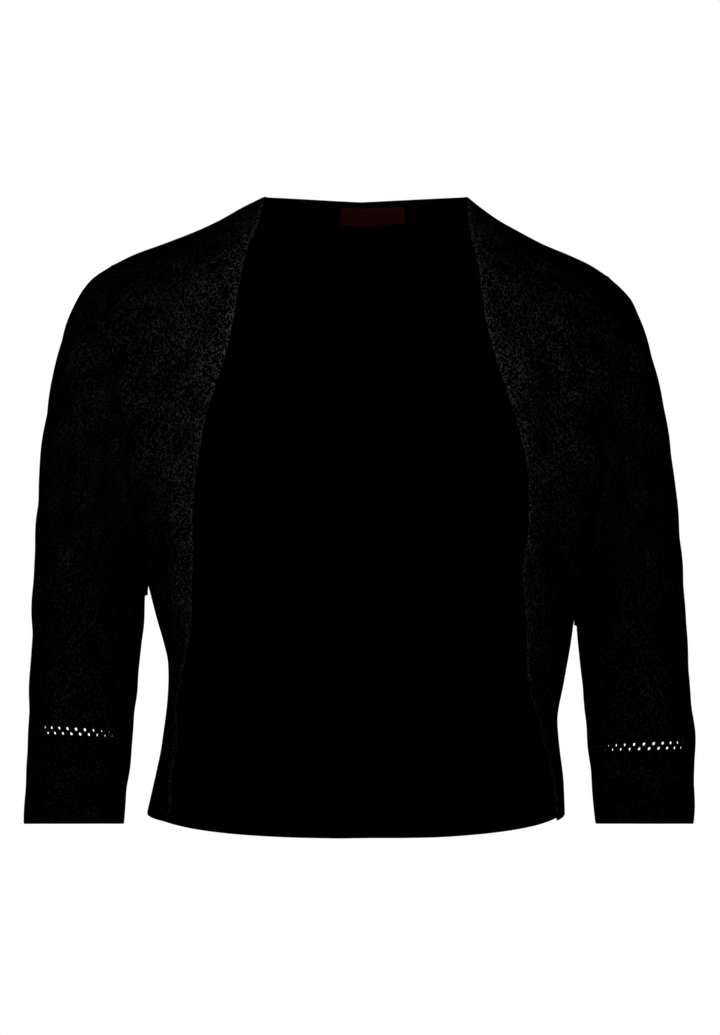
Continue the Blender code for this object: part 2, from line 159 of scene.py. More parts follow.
# The openwork above each cuff: how many eyelets a row, how far round the first lies, and how far down the rows
EYELETS = {
    "right": {"count": 40, "first": 0.055, "down": 382.6, "levelled": 2.6},
    "left": {"count": 37, "first": 0.5, "down": 393.0, "levelled": 1.0},
}
EYELET_ROW_GAP = 3.3
EYELET_STEP = 6
EYELET_HALF_CELL = 1.3
EYELET_NEAR_ROWS = (-9.0, -6.4, -4.2, -2.6, 5.9, 7.5, 9.7, 12.3)
EYELET_CELL_RADIUS = 1.45
EYELET_REACH = 3.2
EYELET_RIM_BULGE = 0.45
EYELET_BAND = 3
EYELET_CLEARANCE = 0.6
LEVELLING_REACH = 60.0

# Soft troughs in the cloth. Across is x on the front and back, and on a sleeve the way round it in
# degrees from its outer line over the front. A ridge has a depth below nought.
FOLD_COLUMNS = ("across", "down", "to_across", "to_down", "width", "depth")
FOLDS = {
    "front_left": (
        (124, 64, 136, 152, 11, 5.0),
        (136, 152, 137, 262, 12, 5.0),
        (120, 120, 119, 205, 12, -2.0),
        (152, 235, 134, 330, 14, 3.0),
        (108, 70, 101, 128, 6, 0.9),
        (128, 300, 136, 412, 6, 1.1),
    ),
    "front_right": (
        (-127, 120, -125, 205, 11, 3.5),
        (-148, 60, -150, 118, 13, 2.5),
        (-150, 240, -138, 318, 12, 3.0),
        (-131, 300, -141, 400, 14, -2.0),
        (-104, 58, -98, 118, 6, 0.9),
        (-121, 232, -124, 300, 5, 0.8),
    ),
    "back": (
        (-146, 215, -92, 335, 20, 5.0),
        (148, 225, 100, 330, 20, 5.0),
        (-128, 100, -124, 205, 17, 3.5),
        (126, 84, 130, 190, 17, 3.5),
        (-38, 300, -30, 440, 24, 3.5),
        (60, 320, 52, 450, 22, 3.0),
        (-60, 150, -86, 250, 11, 1.0),
        (52, 140, 74, 240, 11, 1.0),
        (8, 330, 12, 452, 11, -1.2),
    ),
    "sleeve_right": (
        (98, 100, 86, 190, 13, 4.0),
        (128, 212, 60, 205, 10, 2.0),
        (142, 268, 104, 330, 12, 3.5),
        (228, 210, 262, 330, 14, 3.5),
        (300, 120, 285, 190, 14, 2.5),
        (118, 238, 74, 262, 7, 1.3),
        (124, 292, 82, 300, 7, 1.1),
        (252, 252, 292, 270, 8, 1.3),
        (60, 318, 92, 352, 8, 0.9),
    ),
    "sleeve_left": (
        (104, 120, 92, 215, 14, 3.5),
        (52, 130, 40, 190, 13, -2.0),
        (146, 290, 108, 345, 12, 3.5),
        (222, 225, 255, 320, 14, 4.0),
        (296, 130, 276, 215, 15, 2.5),
        (122, 236, 78, 258, 7, 1.3),
        (118, 300, 80, 312, 7, 1.1),
        (250, 250, 290, 268, 8, 1.3),
    ),
}
SLEEVE_FOLD_RADIUS = 48.0
FOLD_END = 1.6
BODY_SEAM_REACH = 55.0
SLEEVE_SEAM_REACH = 75.0

# Slow unevenness of worn knit: waves with these lengths in x, y and z, and how deep each goes
WAVES = ((71, 93, 58, 0.35), (-44, 61, 83, 0.28), (37, -52, -49, 0.2), (95, 40, 31, 0.16))

# How many strips each panel is divided into
ROLL_ROWS = 34
ARMHOLE_ROWS = 76
SIDE_ROWS = 56
NECK_STRIPS = 26
SHOULDER_STRIPS = 34
SLEEVE_ROW_PITCH = 3.1
RIM_STEPS = 4
EYELET_RIM_STEPS = 3

# At how many points a curve is read where lengths are measured along it
ARMHOLE_SAMPLES = 400
DEPTH_SAMPLES = 200
CUFF_SAMPLES = 4001
SLEEVE_SAMPLES = 2000

# Where each kind of panel is joined to its neighbours, and how far the rim stands out there
SEAMS = {
    "back": (np.s_[:, [0, -1]], np.s_[0, : SHOULDER_STRIPS + 1], np.s_[0, -SHOULDER_STRIPS - 1 :]),
    "front": (np.s_[0], np.s_[:, -1]),
    "sleeve": (np.s_[0],),
}
SEAM_RIM_BULGE = 0.35

# Two rims lean together where the cosine between their directions is past the start, fully after the span
CREASE_START = 0.3
CREASE_SPAN = 0.5

# The yarn that sews a seam: how long and wide a stitch is, how far it rises and lies below the cloth's face
SEWING_PITCH = 1.5
SEWING_STEPS = 8
SEWING_REACH = 0.75
SEWING_RISE = 0.25
SEWING_SUNK = 0.12
SEWING_RADIUS = 0.28

# A second yarn runs straight between the two rims, halfway through the cloth, and closes the gap there
INNER_YARN_RADIUS = 0.5

LABEL_WIDTH = 47.5
LABEL_HEIGHT = 13.2
LABEL_CENTRE_X = 9.5
LABEL_TOP_DOWN = 3.2
LABEL_THICKNESS = 0.8
LABEL_GAP = 0.4
LABEL_STRIPS = (12, 40)
LABEL_LINE_IN = 1.5
LABEL_LINE_WIDTH = 0.4
LABEL_STITCH_IN = 0.7
LABEL_STITCH_WIDTH = 0.5
LABEL_STITCH_PITCH = 2.2
LABEL_STITCH_SHARE = 0.6
LABEL_TWILL_PITCH = 0.5
LABEL_ROUGHNESS = 0.45
LABEL_GLOSS = 0.02
LABEL_BUMP_STRENGTH = 0.6
LABEL_BUMP = 0.0001

# How far from a front's free edge its painted highlight on the stitches falls to half, and the same for the painted
# highlight on its outermost ones; then the painted glints' plain factor and the rim's extra
EDGE_HIGHLIGHT_HALVING = 18.0
RIM_HIGHLIGHT_HALVING = 0.8
GLINT_AWAY_FROM_EDGE = 0.8
RIM_PAINTED_HIGHLIGHT = 2.0

# The knit's finish: noises as (scale, detail), and how much of a stitch's height hangs on its loop and its arch
STITCH_DEFAULTS = {"Stitch Width": 0.0016, "Stitch Height": 0.0013, "Slant": 0.9, "Unevenness": 0.35}
STITCH_DRIFT = (170.0, 2.0)
STITCH_MOTTLE = (45.0, 3.0)
LOOP_SHARE = 0.6
ARCH_SHARE = 0.4
ARCH_BEND = 0.45
# The mottle makes the painted glints patchy: their share is the mottle times the gain, less the loss
GLINT_PATCH_GAIN = 2.0
GLINT_PATCH_LOSS = 0.2
KNIT_BUMP = 0.0005
FACE_ROUGHNESS = 0.6
REVERSE_ROUGHNESS = 0.8
FLOOR_ROUGHNESS = 0.9
FLOOR_MOTTLE = 1.03
FLOOR_SCALE = 3.0

# The studio's lights: the property that holds each one's power, where it stands and what it faces, and the cone of
# a spot in degrees or the width of a panel. Those that come in pairs are given as the one on the wearer's left.
CLOTH_MIDDLE = (0.0, 0.0, -0.2)
LIGHTS = {
    "key light": {
        "power": "key_power", "place": (-0.7, -3.2, 0.35), "target": (-0.03, 0.0, -0.01), "cone": 14.0,
    },
    "side light": {"power": "side_power", "place": (2.6, -1.6, 0.2), "target": (0.2, 0.0, -0.05), "cone": 8.5},
    "softbox": {"power": "fill_power", "place": (1.2, -3.2, 0.7), "target": CLOTH_MIDDLE, "size": 1.4},
    "rear softbox": {"power": "rear_power", "place": (2.0, 2.8, 0.9), "target": CLOTH_MIDDLE, "size": 1.4},
    "top light": {"power": "top_power", "place": (0.0, 0.2, 2.4), "target": CLOTH_MIDDLE, "size": 2.0},
}
HIGHEST_POWER = 5000.0
SPOT_BLEND = 1.0
SPOT_RADIUS = 0.3

# The photograph's frame: where the camera stands, and how tall the view is at the shoulder line
CAMERA_DISTANCE = 3.0
CAMERA_HEIGHT = -0.23076
VIEW_HEIGHT = 0.7452
SENSOR = 36.0


def column(table, columns, name):
    """The named column of a table."""
    return np.array([row[columns.index(name)] for row in table], float)


def smooth(xs, ys, at):
    """The values between the rows of a table, on cubics that never overshoot, and level beyond its ends."""
    step = np.diff(xs)
    rise = np.diff(ys) / step
    slope = np.concatenate([rise[:1], np.zeros(len(rise) - 1), rise[-1:]])
    before, after = rise[:-1], rise[1:]
    same = before * after > 0
    lean_before, lean_after = 2 * step[1:] + step[:-1], step[1:] + 2 * step[:-1]
    safe_before, safe_after = np.where(same, before, 1.0), np.where(same, after, 1.0)
    mean = (lean_before + lean_after) / (lean_before / safe_before + lean_after / safe_after)
    slope[1:-1] = np.where(same, mean, 0.0)
    at = np.clip(at, xs[0], xs[-1])
    i = np.clip(np.searchsorted(xs, at, side="right") - 1, 0, len(step) - 1)
    s = (at - xs[i]) / step[i]
    level = ys[i] * (1 + 2 * s) * (1 - s) ** 2 + ys[i + 1] * (3 - 2 * s) * s**2
    lean = slope[i] * s * (1 - s) ** 2 - slope[i + 1] * (1 - s) * s**2
    return level + step[i] * lean


def read(table, columns, name, at):
    """The named column of a table, read at these values of its first column."""
    return smooth(column(table, columns, columns[0]), column(table, columns, name), at)


def eased(s):
    """Three s squared less two s cubed: a share from 0 to 1 that starts and ends gently."""
    s = np.clip(s, 0.0, 1.0)
    return s * s * (3 - 2 * s)


def mixed(a, b, share):
    """The value this share of the way from a to b."""
    return a + (b - a) * share


def unit(directions):
    """The directions at a length of 1."""
    return directions / np.maximum(np.linalg.norm(directions, axis=-1, keepdims=True), SHORTEST)


def half_width(side, down):
    """Half the body's width: the side's own line, and above the underarm a spread that grows towards the top."""
    underarm, width = SIDES[side][0]
    above = np.clip(underarm - down, 0.0, None)
    spread = SHOULDER_SPREAD * (1 - np.exp(-((above / SPREAD_HEIGHT) ** SPREAD_POWER)))
    return np.where(above > 0, width + spread, read(SIDES[side], SIDE_COLUMNS, "x", down))


def section_angle(x, width):
    """The angle t of the body section at this distance from its middle."""
    return np.arcsin(np.clip(x / width, 0.0, 1.0) ** (1 / SECTION_POWER))


def seam_angle(side, down):
    """The angle t of the armhole seam, which is a right angle at the side seam below it."""
    seam_x = read(ARMHOLES[side], ARMHOLE_COLUMNS, "x", down)
    angle = section_angle(seam_x, half_width(side, down))
    return np.where(down < SIDES[side][0][0] - NEARLY, angle, np.pi / 2)


def row_down(v, top, roll, underarm, hem, crowding):
    """How far down a point is: v runs over the roll from 0 to 1, beside the armhole to 2 and down the side to 3.
    Rows crowd together above the underarm where crowding is 1, because the armhole turns sharply there."""
    over = top + roll * (1 - np.cos(np.pi / 2 * np.clip(v, 0, 1)))
    share = np.clip(v - 1, 0, 1)
    beside = mixed(top + roll, underarm, mixed(share, np.sin(np.pi / 2 * share), crowding))
    below = mixed(underarm, hem, np.clip(v - 2, 0, 1))
    return np.where(v <= 1, over, np.where(v <= 2, beside, below))


def roll_share(fall, roll, roundness):
    """How much of the body's depth is reached this far below the top edge: a quarter circle or a softer slope."""
    s = np.clip(fall / roll, 0.0, 1.0)
    return mixed(np.sin(np.pi / 2 * s), np.sqrt(1 - (1 - s) ** 2), roundness)


def body_point(side, down, top_x, top_y, top_down, angle, depth, roll, roundness):
    """A point of the body's surface: x is the half width times sin(t) ^ power and y the depth times cos(t) ^ power,
    both drawn in to the top edge as the point nears it."""
    fall = down - top_down
    x = mixed(top_x, half_width(side, down) * np.sin(angle) ** SECTION_POWER, eased(fall / TOP_SETTLE))
    y = mixed(top_y, depth * np.cos(angle) ** SECTION_POWER, roll_share(fall, roll, roundness))
    return np.stack([HAND[side] * x, y, -down], axis=-1)


def front_points(side, q, v):
    """Points of a front: q from its free edge to the side, v from the shoulder seam to the hem."""
    neck_x, tip_x = SHOULDERS[side][0][0], SHOULDERS[side][-1][0]
    top_x = mixed(neck_x, tip_x, q)
    top_down = read(SHOULDERS[side], SHOULDER_COLUMNS, "down", top_x)
    roll = mixed(ROLL_NECK, ROLL_TIP, q)
    underarm = SIDES[side][0][0]
    hem = HEM_DOWN + FRONT_HEM_DROP * (1 - q)
    down = row_down(v, top_down, roll, underarm, hem, eased(q))
    edge_x = read(FRONT_EDGES[side], FRONT_EDGE_COLUMNS, "x", down)
    edge = section_angle(edge_x, half_width(side, down))
    angle = mixed(edge, seam_angle(side, down), q)
    depth = -read(DEPTHS, DEPTH_COLUMNS, "front", down)
    return body_point(side, down, top_x, 0.0, top_down, angle, depth, roll, 1.0)


def back_points(side, u, v):
    """Points of half the back: u from its middle to the side, v from the neck edge or shoulder seam to the hem."""
    neck_share = NECK_STRIPS / (NECK_STRIPS + SHOULDER_STRIPS)
    neck_x, tip_x = SHOULDERS[side][0][0], SHOULDERS[side][-1][0]
    round_neck = np.pi / 2 * np.clip(u / neck_share, 0, 1)
    along = np.clip((u - neck_share) / (1 - neck_share), 0, 1)
    top_x = np.where(u < neck_share, neck_x * np.sin(round_neck), mixed(neck_x, tip_x, along))
    top_y = NECK_BACK_Y * np.cos(round_neck)
    rise = NECK_RISE * np.cos(round_neck) + NECK_SIDE_RISE * np.sin(2 * round_neck)
    top_down = read(SHOULDERS[side], SHOULDER_COLUMNS, "down", top_x) - rise
    roll = mixed(mixed(ROLL_CENTRE_BACK, ROLL_NECK, np.sin(round_neck)), ROLL_TIP, along)
    middle = np.mean([rows[0][0] for rows in SIDES.values()])
    underarm = mixed(middle, SIDES[side][0][0], eased(u))
    hem = HEM_DOWN + BACK_HEM_DROP * np.cos(np.pi / 2 * u)
    down = row_down(v, top_down, roll, underarm, hem, eased(u))
    angle = u * seam_angle(side, down)
    depth = read(DEPTHS, DEPTH_COLUMNS, "back", down)
    return body_point(side, down, top_x, top_y, top_down, angle, depth, roll, eased(u / neck_share))


def body_rows():
    """The values of v for the rows of points from the shoulder to the hem."""
    roll = np.linspace(0, 1, ROLL_ROWS + 1)
    armhole = np.linspace(1, 2, ARMHOLE_ROWS + 1)[1:]
    below = np.linspace(2, 3, SIDE_ROWS + 1)[1:]
    return np.concatenate([roll, armhole, below])


def front_grid(side):
    """The whole front on this side, from its free edge to the side."""
    q, v = np.meshgrid(np.linspace(0, 1, SHOULDER_STRIPS + 1), body_rows())
    return front_points(side, q, v)


def back_grid():
    """The whole back, from the wearer's right to the left."""
    u, v = np.meshgrid(np.linspace(0, 1, NECK_STRIPS + SHOULDER_STRIPS + 1), body_rows())
    right, left = back_points("right", u, v), back_points("left", u, v)
    return np.concatenate([right[:, ::-1], left[:, 1:]], axis=1)


def armhole_points(side, way):
    """The armhole seam: way runs from 0 at the shoulder's tip down the front to 2, and up the back to 4."""
    end = np.ones_like(way)
    front = front_points(side, end, np.clip(way, 0, 2))
    back = back_points(side, end, np.clip(4 - way, 0, 2))
    return np.where((way <= 2)[:, None], front, back)


def armhole_way(side, count):
    """The values of way for this many points spaced evenly along the armhole, half of them on the front."""
    fine = np.linspace(0, 2, ARMHOLE_SAMPLES)
    front = armhole_points(side, fine)
    along = np.concatenate([[0], np.cumsum(np.linalg.norm(np.diff(front, axis=0), axis=-1))])
    down = np.interp(np.linspace(0, along[-1], count // 2 + 1), along, fine)
    return np.concatenate([down, 4 - down[-2:0:-1]])


def sleeve_table(side):
    """The sleeve's rows with the armhole put before them, and how far along the sleeve each one is."""
    tip, underarm = ARMHOLES[side][0], ARMHOLES[side][-1]
    depth = np.abs(armhole_points(side, np.linspace(0, 4, DEPTH_SAMPLES))[:, 1]).max()
    table = ((tip[1], tip[0], underarm[1], underarm[0], 0.0, depth), *SLEEVES[side])
    middles = np.array([((row[0] + row[2]) / 2, (row[1] + row[3]) / 2) for row in table])
    along = np.concatenate([[0], np.cumsum(np.hypot(*np.diff(middles, axis=0).T))])
    return table, along


def sleeve_points(side, s, turn):
    """Rings of the sleeve: the middle, plus the reach to the outer line times cos(turn), plus the half depth
    forward times sin(turn)."""
    table, along = sleeve_table(side)
    names = SLEEVE_COLUMNS
    ring = {name: smooth(along / along[-1], column(table, names, name), s) for name in names}
    hand = HAND[side]
    zero = np.zeros_like(s)
    outer = np.stack([hand * ring["outer_x"], zero, -ring["outer_down"]], axis=-1)
    inner = np.stack([hand * ring["inner_x"], zero, -ring["inner_down"]], axis=-1)
    middle, reach = (outer + inner) / 2, (outer - inner) / 2
    middle[..., 1] = ring["middle_y"]
    tilt = CUFF_TILT * eased(s)
    ahead = np.stack([zero, -np.cos(tilt), np.sin(tilt)], axis=-1)
    forward = ring["half_depth"][..., None] * ahead
    return middle + reach * np.cos(turn)[..., None] + forward * np.sin(turn)[..., None]


def eyelet_turns(side):
    """The angle of each column round the cuff, spaced evenly along its oval so that the eyelets are too."""
    fine = np.linspace(-np.pi, 3 * np.pi, CUFF_SAMPLES)
    speed = np.hypot(CUFF_HALF_WIDTH * np.sin(fine), CUFF_HALF_DEPTH * np.cos(fine))
    along = np.concatenate([[0], np.cumsum((speed[1:] + speed[:-1]) / 2)])
    along -= np.interp(0.0, fine, along)
    whole = np.interp(2 * np.pi, fine, along)
    facts = EYELETS[side]
    count = facts["count"] * EYELET_STEP
    share = (np.arange(count) + facts["first"] * EYELET_STEP) / count
    return np.interp(share * whole, along, fine)


def sleeve_row_places(side):
    """The values of s for the sleeve's rings, evenly spaced but for those that frame the two eyelet rows, and the
    two rings on which the eyelets are centred."""
    table, along = sleeve_table(side)
    fine = np.linspace(0, 1, SLEEVE_SAMPLES)
    names = SLEEVE_COLUMNS
    outer = smooth(along / along[-1], column(table, names, "outer_down"), fine)
    inner = smooth(along / along[-1], column(table, names, "inner_down"), fine)
    down = (outer + inner) / 2
    top = EYELETS[side]["down"]
    centres = np.array([top, top + EYELET_ROW_GAP])
    half = EYELET_HALF_CELL
    framing = np.concatenate([centres - half, centres, centres + half, top + np.array(EYELET_NEAR_ROWS)])
    framing = np.interp(np.sort(framing), down, fine)
    plain = np.linspace(0, 1, int(round(along[-1] / SLEEVE_ROW_PITCH)) + 1)
    clear = SLEEVE_ROW_PITCH * EYELET_CLEARANCE / along[-1]
    plain = plain[(plain < framing[0] - clear) | (plain > framing[-1] + clear)]
    places = np.sort(np.concatenate([plain, framing]))
    rows = np.searchsorted(places, np.interp(centres, down, fine) - NEARLY)
    return places, rows


def sleeve_grid(side):
    """The sleeve's rings of points with the angle of each, the armhole's way, and the eyelets' two rows. Near the
    armhole a ring takes up the seam's own shape, and further down its columns part evenly for the eyelets, where
    the rings are levelled by shifting them along the sleeve by the cosine of their angle."""
    even = eyelet_turns(side)
    count = len(even)
    way = armhole_way(side, count)
    loop = armhole_points(side, way)
    tip, underarm = loop[0], loop[count // 2]
    middle, reach = (tip + underarm) / 2, (tip - underarm) / 2
    turn = np.arccos(np.clip((loop - middle) @ reach / (reach @ reach), -1, 1))
    turn[count // 2 + 1 :] = 2 * np.pi - turn[count // 2 + 1 :]
    places, rows = sleeve_row_places(side)
    s, start = np.meshgrid(places, turn, indexing="ij")
    turns = mixed(start, even, eased(s / EVEN_FADE))
    length = sleeve_table(side)[1][-1]
    near = np.clip(1 - np.abs(s - places[rows].mean()) * length / LEVELLING_REACH, 0, 1)
    s = s + EYELETS[side]["levelled"] / length * np.cos(turns) * eased(near)
    grid = sleeve_points(side, s, turns)
    fade = (1 - eased(s / ARMHOLE_FADE))[..., None]
    grid = grid + fade * (loop - sleeve_points(side, np.zeros(count), turn))
    return grid, turns, way, rows


def normals(grid, closed):
    """The direction out of the garment at each point of a grid, which is the cross product of its two slopes; a
    closed grid goes round along each row."""
    ring = np.concatenate([grid[:, -1:], grid, grid[:, :1]], axis=1) if closed else grid
    out = unit(np.cross(np.gradient(ring, axis=1), np.gradient(ring, axis=0)))
    out = out[:, 1:-1] if closed else out
    away = grid - grid.mean(axis=1, keepdims=True) if closed else grid * np.array([1.0, 1.0, 0.0])
    return out * np.sign(np.sum(out * away))


def leaning(own, other):
    """A rim's direction: halfway to its neighbour's where they nearly agree, and its own across a deep crease."""
    agree = np.sum(own * other, axis=-1, keepdims=True)
    return unit(own + other * eased((agree - CREASE_START) / CREASE_SPAN))


def along_fold(place, fold):
    """The depth of one fold at these flat places: its depth times e to the minus square of the distance from its
    line over its width, fading past its ends."""
    start = np.array([fold["across"], fold["down"]])
    line = np.array([fold["to_across"], fold["to_down"]]) - start
    length = np.linalg.norm(line)
    along = (place - start) @ line / length
    off = (place - start) @ np.array([-line[1], line[0]]) / length
    past = np.clip(np.maximum(-along, along - length), 0, None)
    spread = (off / fold["width"]) ** 2 + (past / (FOLD_END * fold["width"])) ** 2
    return fold["depth"] * np.exp(-spread)


def distances(grid, axis):
    """How far each point is from the first along this axis of the grid."""
    steps = np.linalg.norm(np.diff(grid, axis=axis), axis=-1)
    return np.insert(np.cumsum(steps, axis=axis), 0, 0.0, axis=axis)


def seam_fade(grid, edges, reach):
    """Nought at the seams and 1 from this far off, so that the cloth stays in place where it is joined."""
    fade = np.ones(grid.shape[:2])
    down, across = distances(grid, 0), distances(grid, 1)
    far = {"top": down, "first": across, "last": across[:, -1:] - across}
    for edge in edges:
        fade *= eased(far[edge] / reach)
    return fade


def wave_depth(grid):
    """Slow unevenness: the sum of a few sines of x, y and z."""
    depth = np.zeros(grid.shape[:2])
    for length_x, length_y, length_z, height in WAVES:
        phase = grid[..., 0] / length_x + grid[..., 1] / length_y + grid[..., 2] / length_z
        depth += height * np.sin(2 * np.pi * phase + length_x)
    return depth


def folded(name, grid, out, across, fade, strength):
    """The grid with its folds and slow unevenness pressed in along its normals, away from the seams."""
    place = np.stack([across, -grid[..., 2]], axis=-1)
    scale = np.radians(SLEEVE_FOLD_RADIUS) if name.startswith("sleeve") else 1.0
    depth = wave_depth(grid)
    for row in FOLDS[name]:
        fold = dict(zip(FOLD_COLUMNS, row))
        fold["across"], fold["to_across"] = fold["across"] * scale, fold["to_across"] * scale
        depth += along_fold(place, fold)
    return grid - out * (depth * fade * strength)[..., None]


def garment(settings):
    """Each cloth piece's grid of points, the directions out of it and the facts that its mesh needs. The directions
    are shared along the seams, so that the two rims there stand side by side."""
    pieces = {"back": {"grid": back_grid(), "closed": False}}
    for side in HAND:
        grid, turns, way, rows = sleeve_grid(side)
        pieces[f"front_{side}"] = {"grid": front_grid(side), "closed": False}
        pieces[f"sleeve_{side}"] = {"grid": grid, "closed": True, "turns": turns, "way": way, "rows": rows}
    for piece in pieces.values():
        piece["out"] = normals(piece["grid"], piece["closed"])
    share_seams(pieces)
    for name, piece in pieces.items():
        grid = piece["grid"]
        if piece["closed"]:
            across = np.degrees(piece["turns"]) * np.radians(SLEEVE_FOLD_RADIUS)
            fade = seam_fade(grid, ("top",), SLEEVE_SEAM_REACH)
        else:
            across = grid[..., 0]
            edges = ("top", "first", "last") if name == "back" else ("top", "last")
            fade = seam_fade(grid, edges, BODY_SEAM_REACH)
        piece["grid"] = folded(name, grid, piece["out"], across, fade, settings.fold_strength)
    return pieces


def share_seams(pieces):
    """Brings the directions on both sides of each seam together. The sleeve has its own number of columns, so its
    directions and the body's are read from each other along the armhole's way."""
    v = body_rows()
    beside = v <= 2
    back = pieces["back"]["out"]
    for side in HAND:
        front, ring = pieces[f"front_{side}"]["out"], pieces[f"sleeve_{side}"]["out"]
        half = back[:, ::-1] if side == "right" else back
        seam = unit(front[0] + half[0, -SHOULDER_STRIPS - 1 :])
        front[0], half[0, -SHOULDER_STRIPS - 1 :] = seam, seam
        below = unit(front[~beside, -1] + half[~beside, -1])
        front[~beside, -1], half[~beside, -1] = below, below
        way = pieces[f"sleeve_{side}"]["way"]
        body_way = np.concatenate([v[beside], 4 - v[beside][-2:0:-1]])
        body = np.concatenate([front[beside, -1], half[beside, -1][-2:0:-1]])
        body_there = read_round(way, body_way, body)
        ring_there = read_round(body_way, way, ring[0])
        ring[0] = leaning(ring[0], body_there)
        rim = leaning(body, ring_there)
        front[beside, -1] = rim[: beside.sum()]
        half[beside, -1] = np.concatenate([rim[:1], rim[: beside.sum() - 2 : -1]])


def read_round(at, way, directions):
    """Directions given round the armhole at way, read at other places round it."""
    way = np.append(way, 4.0)
    directions = np.concatenate([directions, directions[:1]])
    return unit(np.stack([np.interp(at, way, directions[:, axis]) for axis in range(3)], axis=-1))


def placed(name, data):
    """A new object of this data in the scene."""
    made = bpy.data.objects.new(name, data)
    bpy.context.scene.collection.objects.link(made)
    return made


class ClothMesh:
    """Gathers corners, their places and texture coordinates, and quads. Corners that are one point of the mesh,
    such as those where a sleeve's texture is cut open, share it through "same"."""

    def __init__(self):
        self.points, self.uvs, self.same, self.faces, self.marks = [], [], [], [], []
        self.count = 0

    def add_corners(self, points, uvs, same=None):
        """Adds corners and returns their numbers in the shape of the array; same holds the numbers that they stand
        for, or -1 for a point of their own."""
        shape = points.shape[:-1]
        index = np.arange(self.count, self.count + int(np.prod(shape))).reshape(shape)
        self.points.append(points.reshape(-1, 3))
        self.uvs.append(uvs.reshape(-1, 2))
        own = index if same is None else np.where(same < 0, index, same)
        self.same.append(own.reshape(-1))
        self.count += index.size
        return index

    def add_strips(self, index, mark, keep=None, flip=False):
        """Quads between neighbouring rows and columns of these corner numbers."""
        above, below = index[..., :-1, :], index[..., 1:, :]
        quads = np.stack([above[..., :-1], below[..., :-1], below[..., 1:], above[..., 1:]], axis=-1)
        quads = quads[keep] if keep is not None else quads.reshape(-1, 4)
        self.faces.append(quads[:, ::-1] if flip else quads)
        self.marks.append(np.full(len(quads), mark))

    def build(self, name, materials):
        """Makes the object, in metres, leaving out the points that no quad uses."""
        faces, marks = np.concatenate(self.faces), np.concatenate(self.marks)
        owner = np.concatenate(self.same)[faces]
        used, corner = np.unique(owner, return_inverse=True)
        corner = corner.reshape(owner.shape)
        points = np.concatenate(self.points)[used] * MM
        mesh = bpy.data.meshes.new(name)
        mesh.from_pydata(points.tolist(), [], corner.tolist())
        layer = mesh.uv_layers.new(name="cloth")
        layer.data.foreach_set("uv", (np.concatenate(self.uvs)[faces] * MM).ravel())
        mesh.polygons.foreach_set("material_index", marks)
        mesh.polygons.foreach_set("use_smooth", np.ones(len(faces), bool))
        for material in materials:
            mesh.materials.append(material)
        mesh.update()
        return placed(name, mesh)


def outline_loop(rows, columns):
    """The corner numbers round the edge of a grid, and those just inside them, the first repeated at the end."""
    index = np.arange(rows * columns).reshape(rows, columns)
    inner = np.clip(np.arange(rows), 1, rows - 2)[:, None] * columns + np.clip(np.arange(columns), 1, columns - 2)
    turns = [np.s_[0, :-1], np.s_[:-1, -1], np.s_[-1, :0:-1], np.s_[::-1, 0]]
    edge = np.concatenate([index[turn] for turn in turns])
    inside = np.concatenate([inner[turn] for turn in turns])
    return edge, inside


def drawn_in(grid, closed, seams, thickness, seam_gap):
    """The grid with its edges drawn in to make room for the rounded rims, and for half the gap at the seams, with
    how far the rim stands out at each point."""
    joined = np.zeros(grid.shape[:2] + (1,), bool)
    for part in seams:
        joined[part] = True
    bulge = np.where(joined, SEAM_RIM_BULGE, thickness / 2)
    grid, room = grid.copy(), bulge + joined * seam_gap / 2
    views = [(grid, room), (grid[::-1], room[::-1])]
    if not closed:
        turned, turned_room = grid.swapaxes(0, 1), room.swapaxes(0, 1)
        views += [(turned, turned_room), (turned[::-1], turned_room[::-1])]
    for view, needed in views:
        view[0] += unit(view[1] - view[0]) * needed[0]
    return grid, bulge


def add_rim(mesh, loop, shift, flat, toward, uv_step, bulge, steps, flip):
    """A rounded rim along loops of corners: between the two skins it follows a half oval that stands out by bulge.
    Each loop's last corner repeats its first."""
    above, below, uvs = flat["grid"][loop], flat["inner"][loop], flat["uv"][loop]
    angle = (np.pi * np.arange(1, steps) / steps).reshape((-1,) + (1,) * above.ndim)
    half, middle = (above - below) / 2, (above + below) / 2
    ring = middle + half * np.cos(angle) + toward * (bulge * np.sin(angle))
    ring_uv = uvs + uv_step * (bulge * angle)
    index = np.arange(ring[..., 0].size).reshape(ring.shape[:-1]) + mesh.count
    same = np.full(index.shape, -1)
    same[..., -1] = index[..., 0]
    index = mesh.add_corners(ring, ring_uv, same)
    strips = np.concatenate([loop[None], index, loop[None] + shift])
    mesh.add_strips(np.moveaxis(strips, 0, -2), 0, flip=flip)


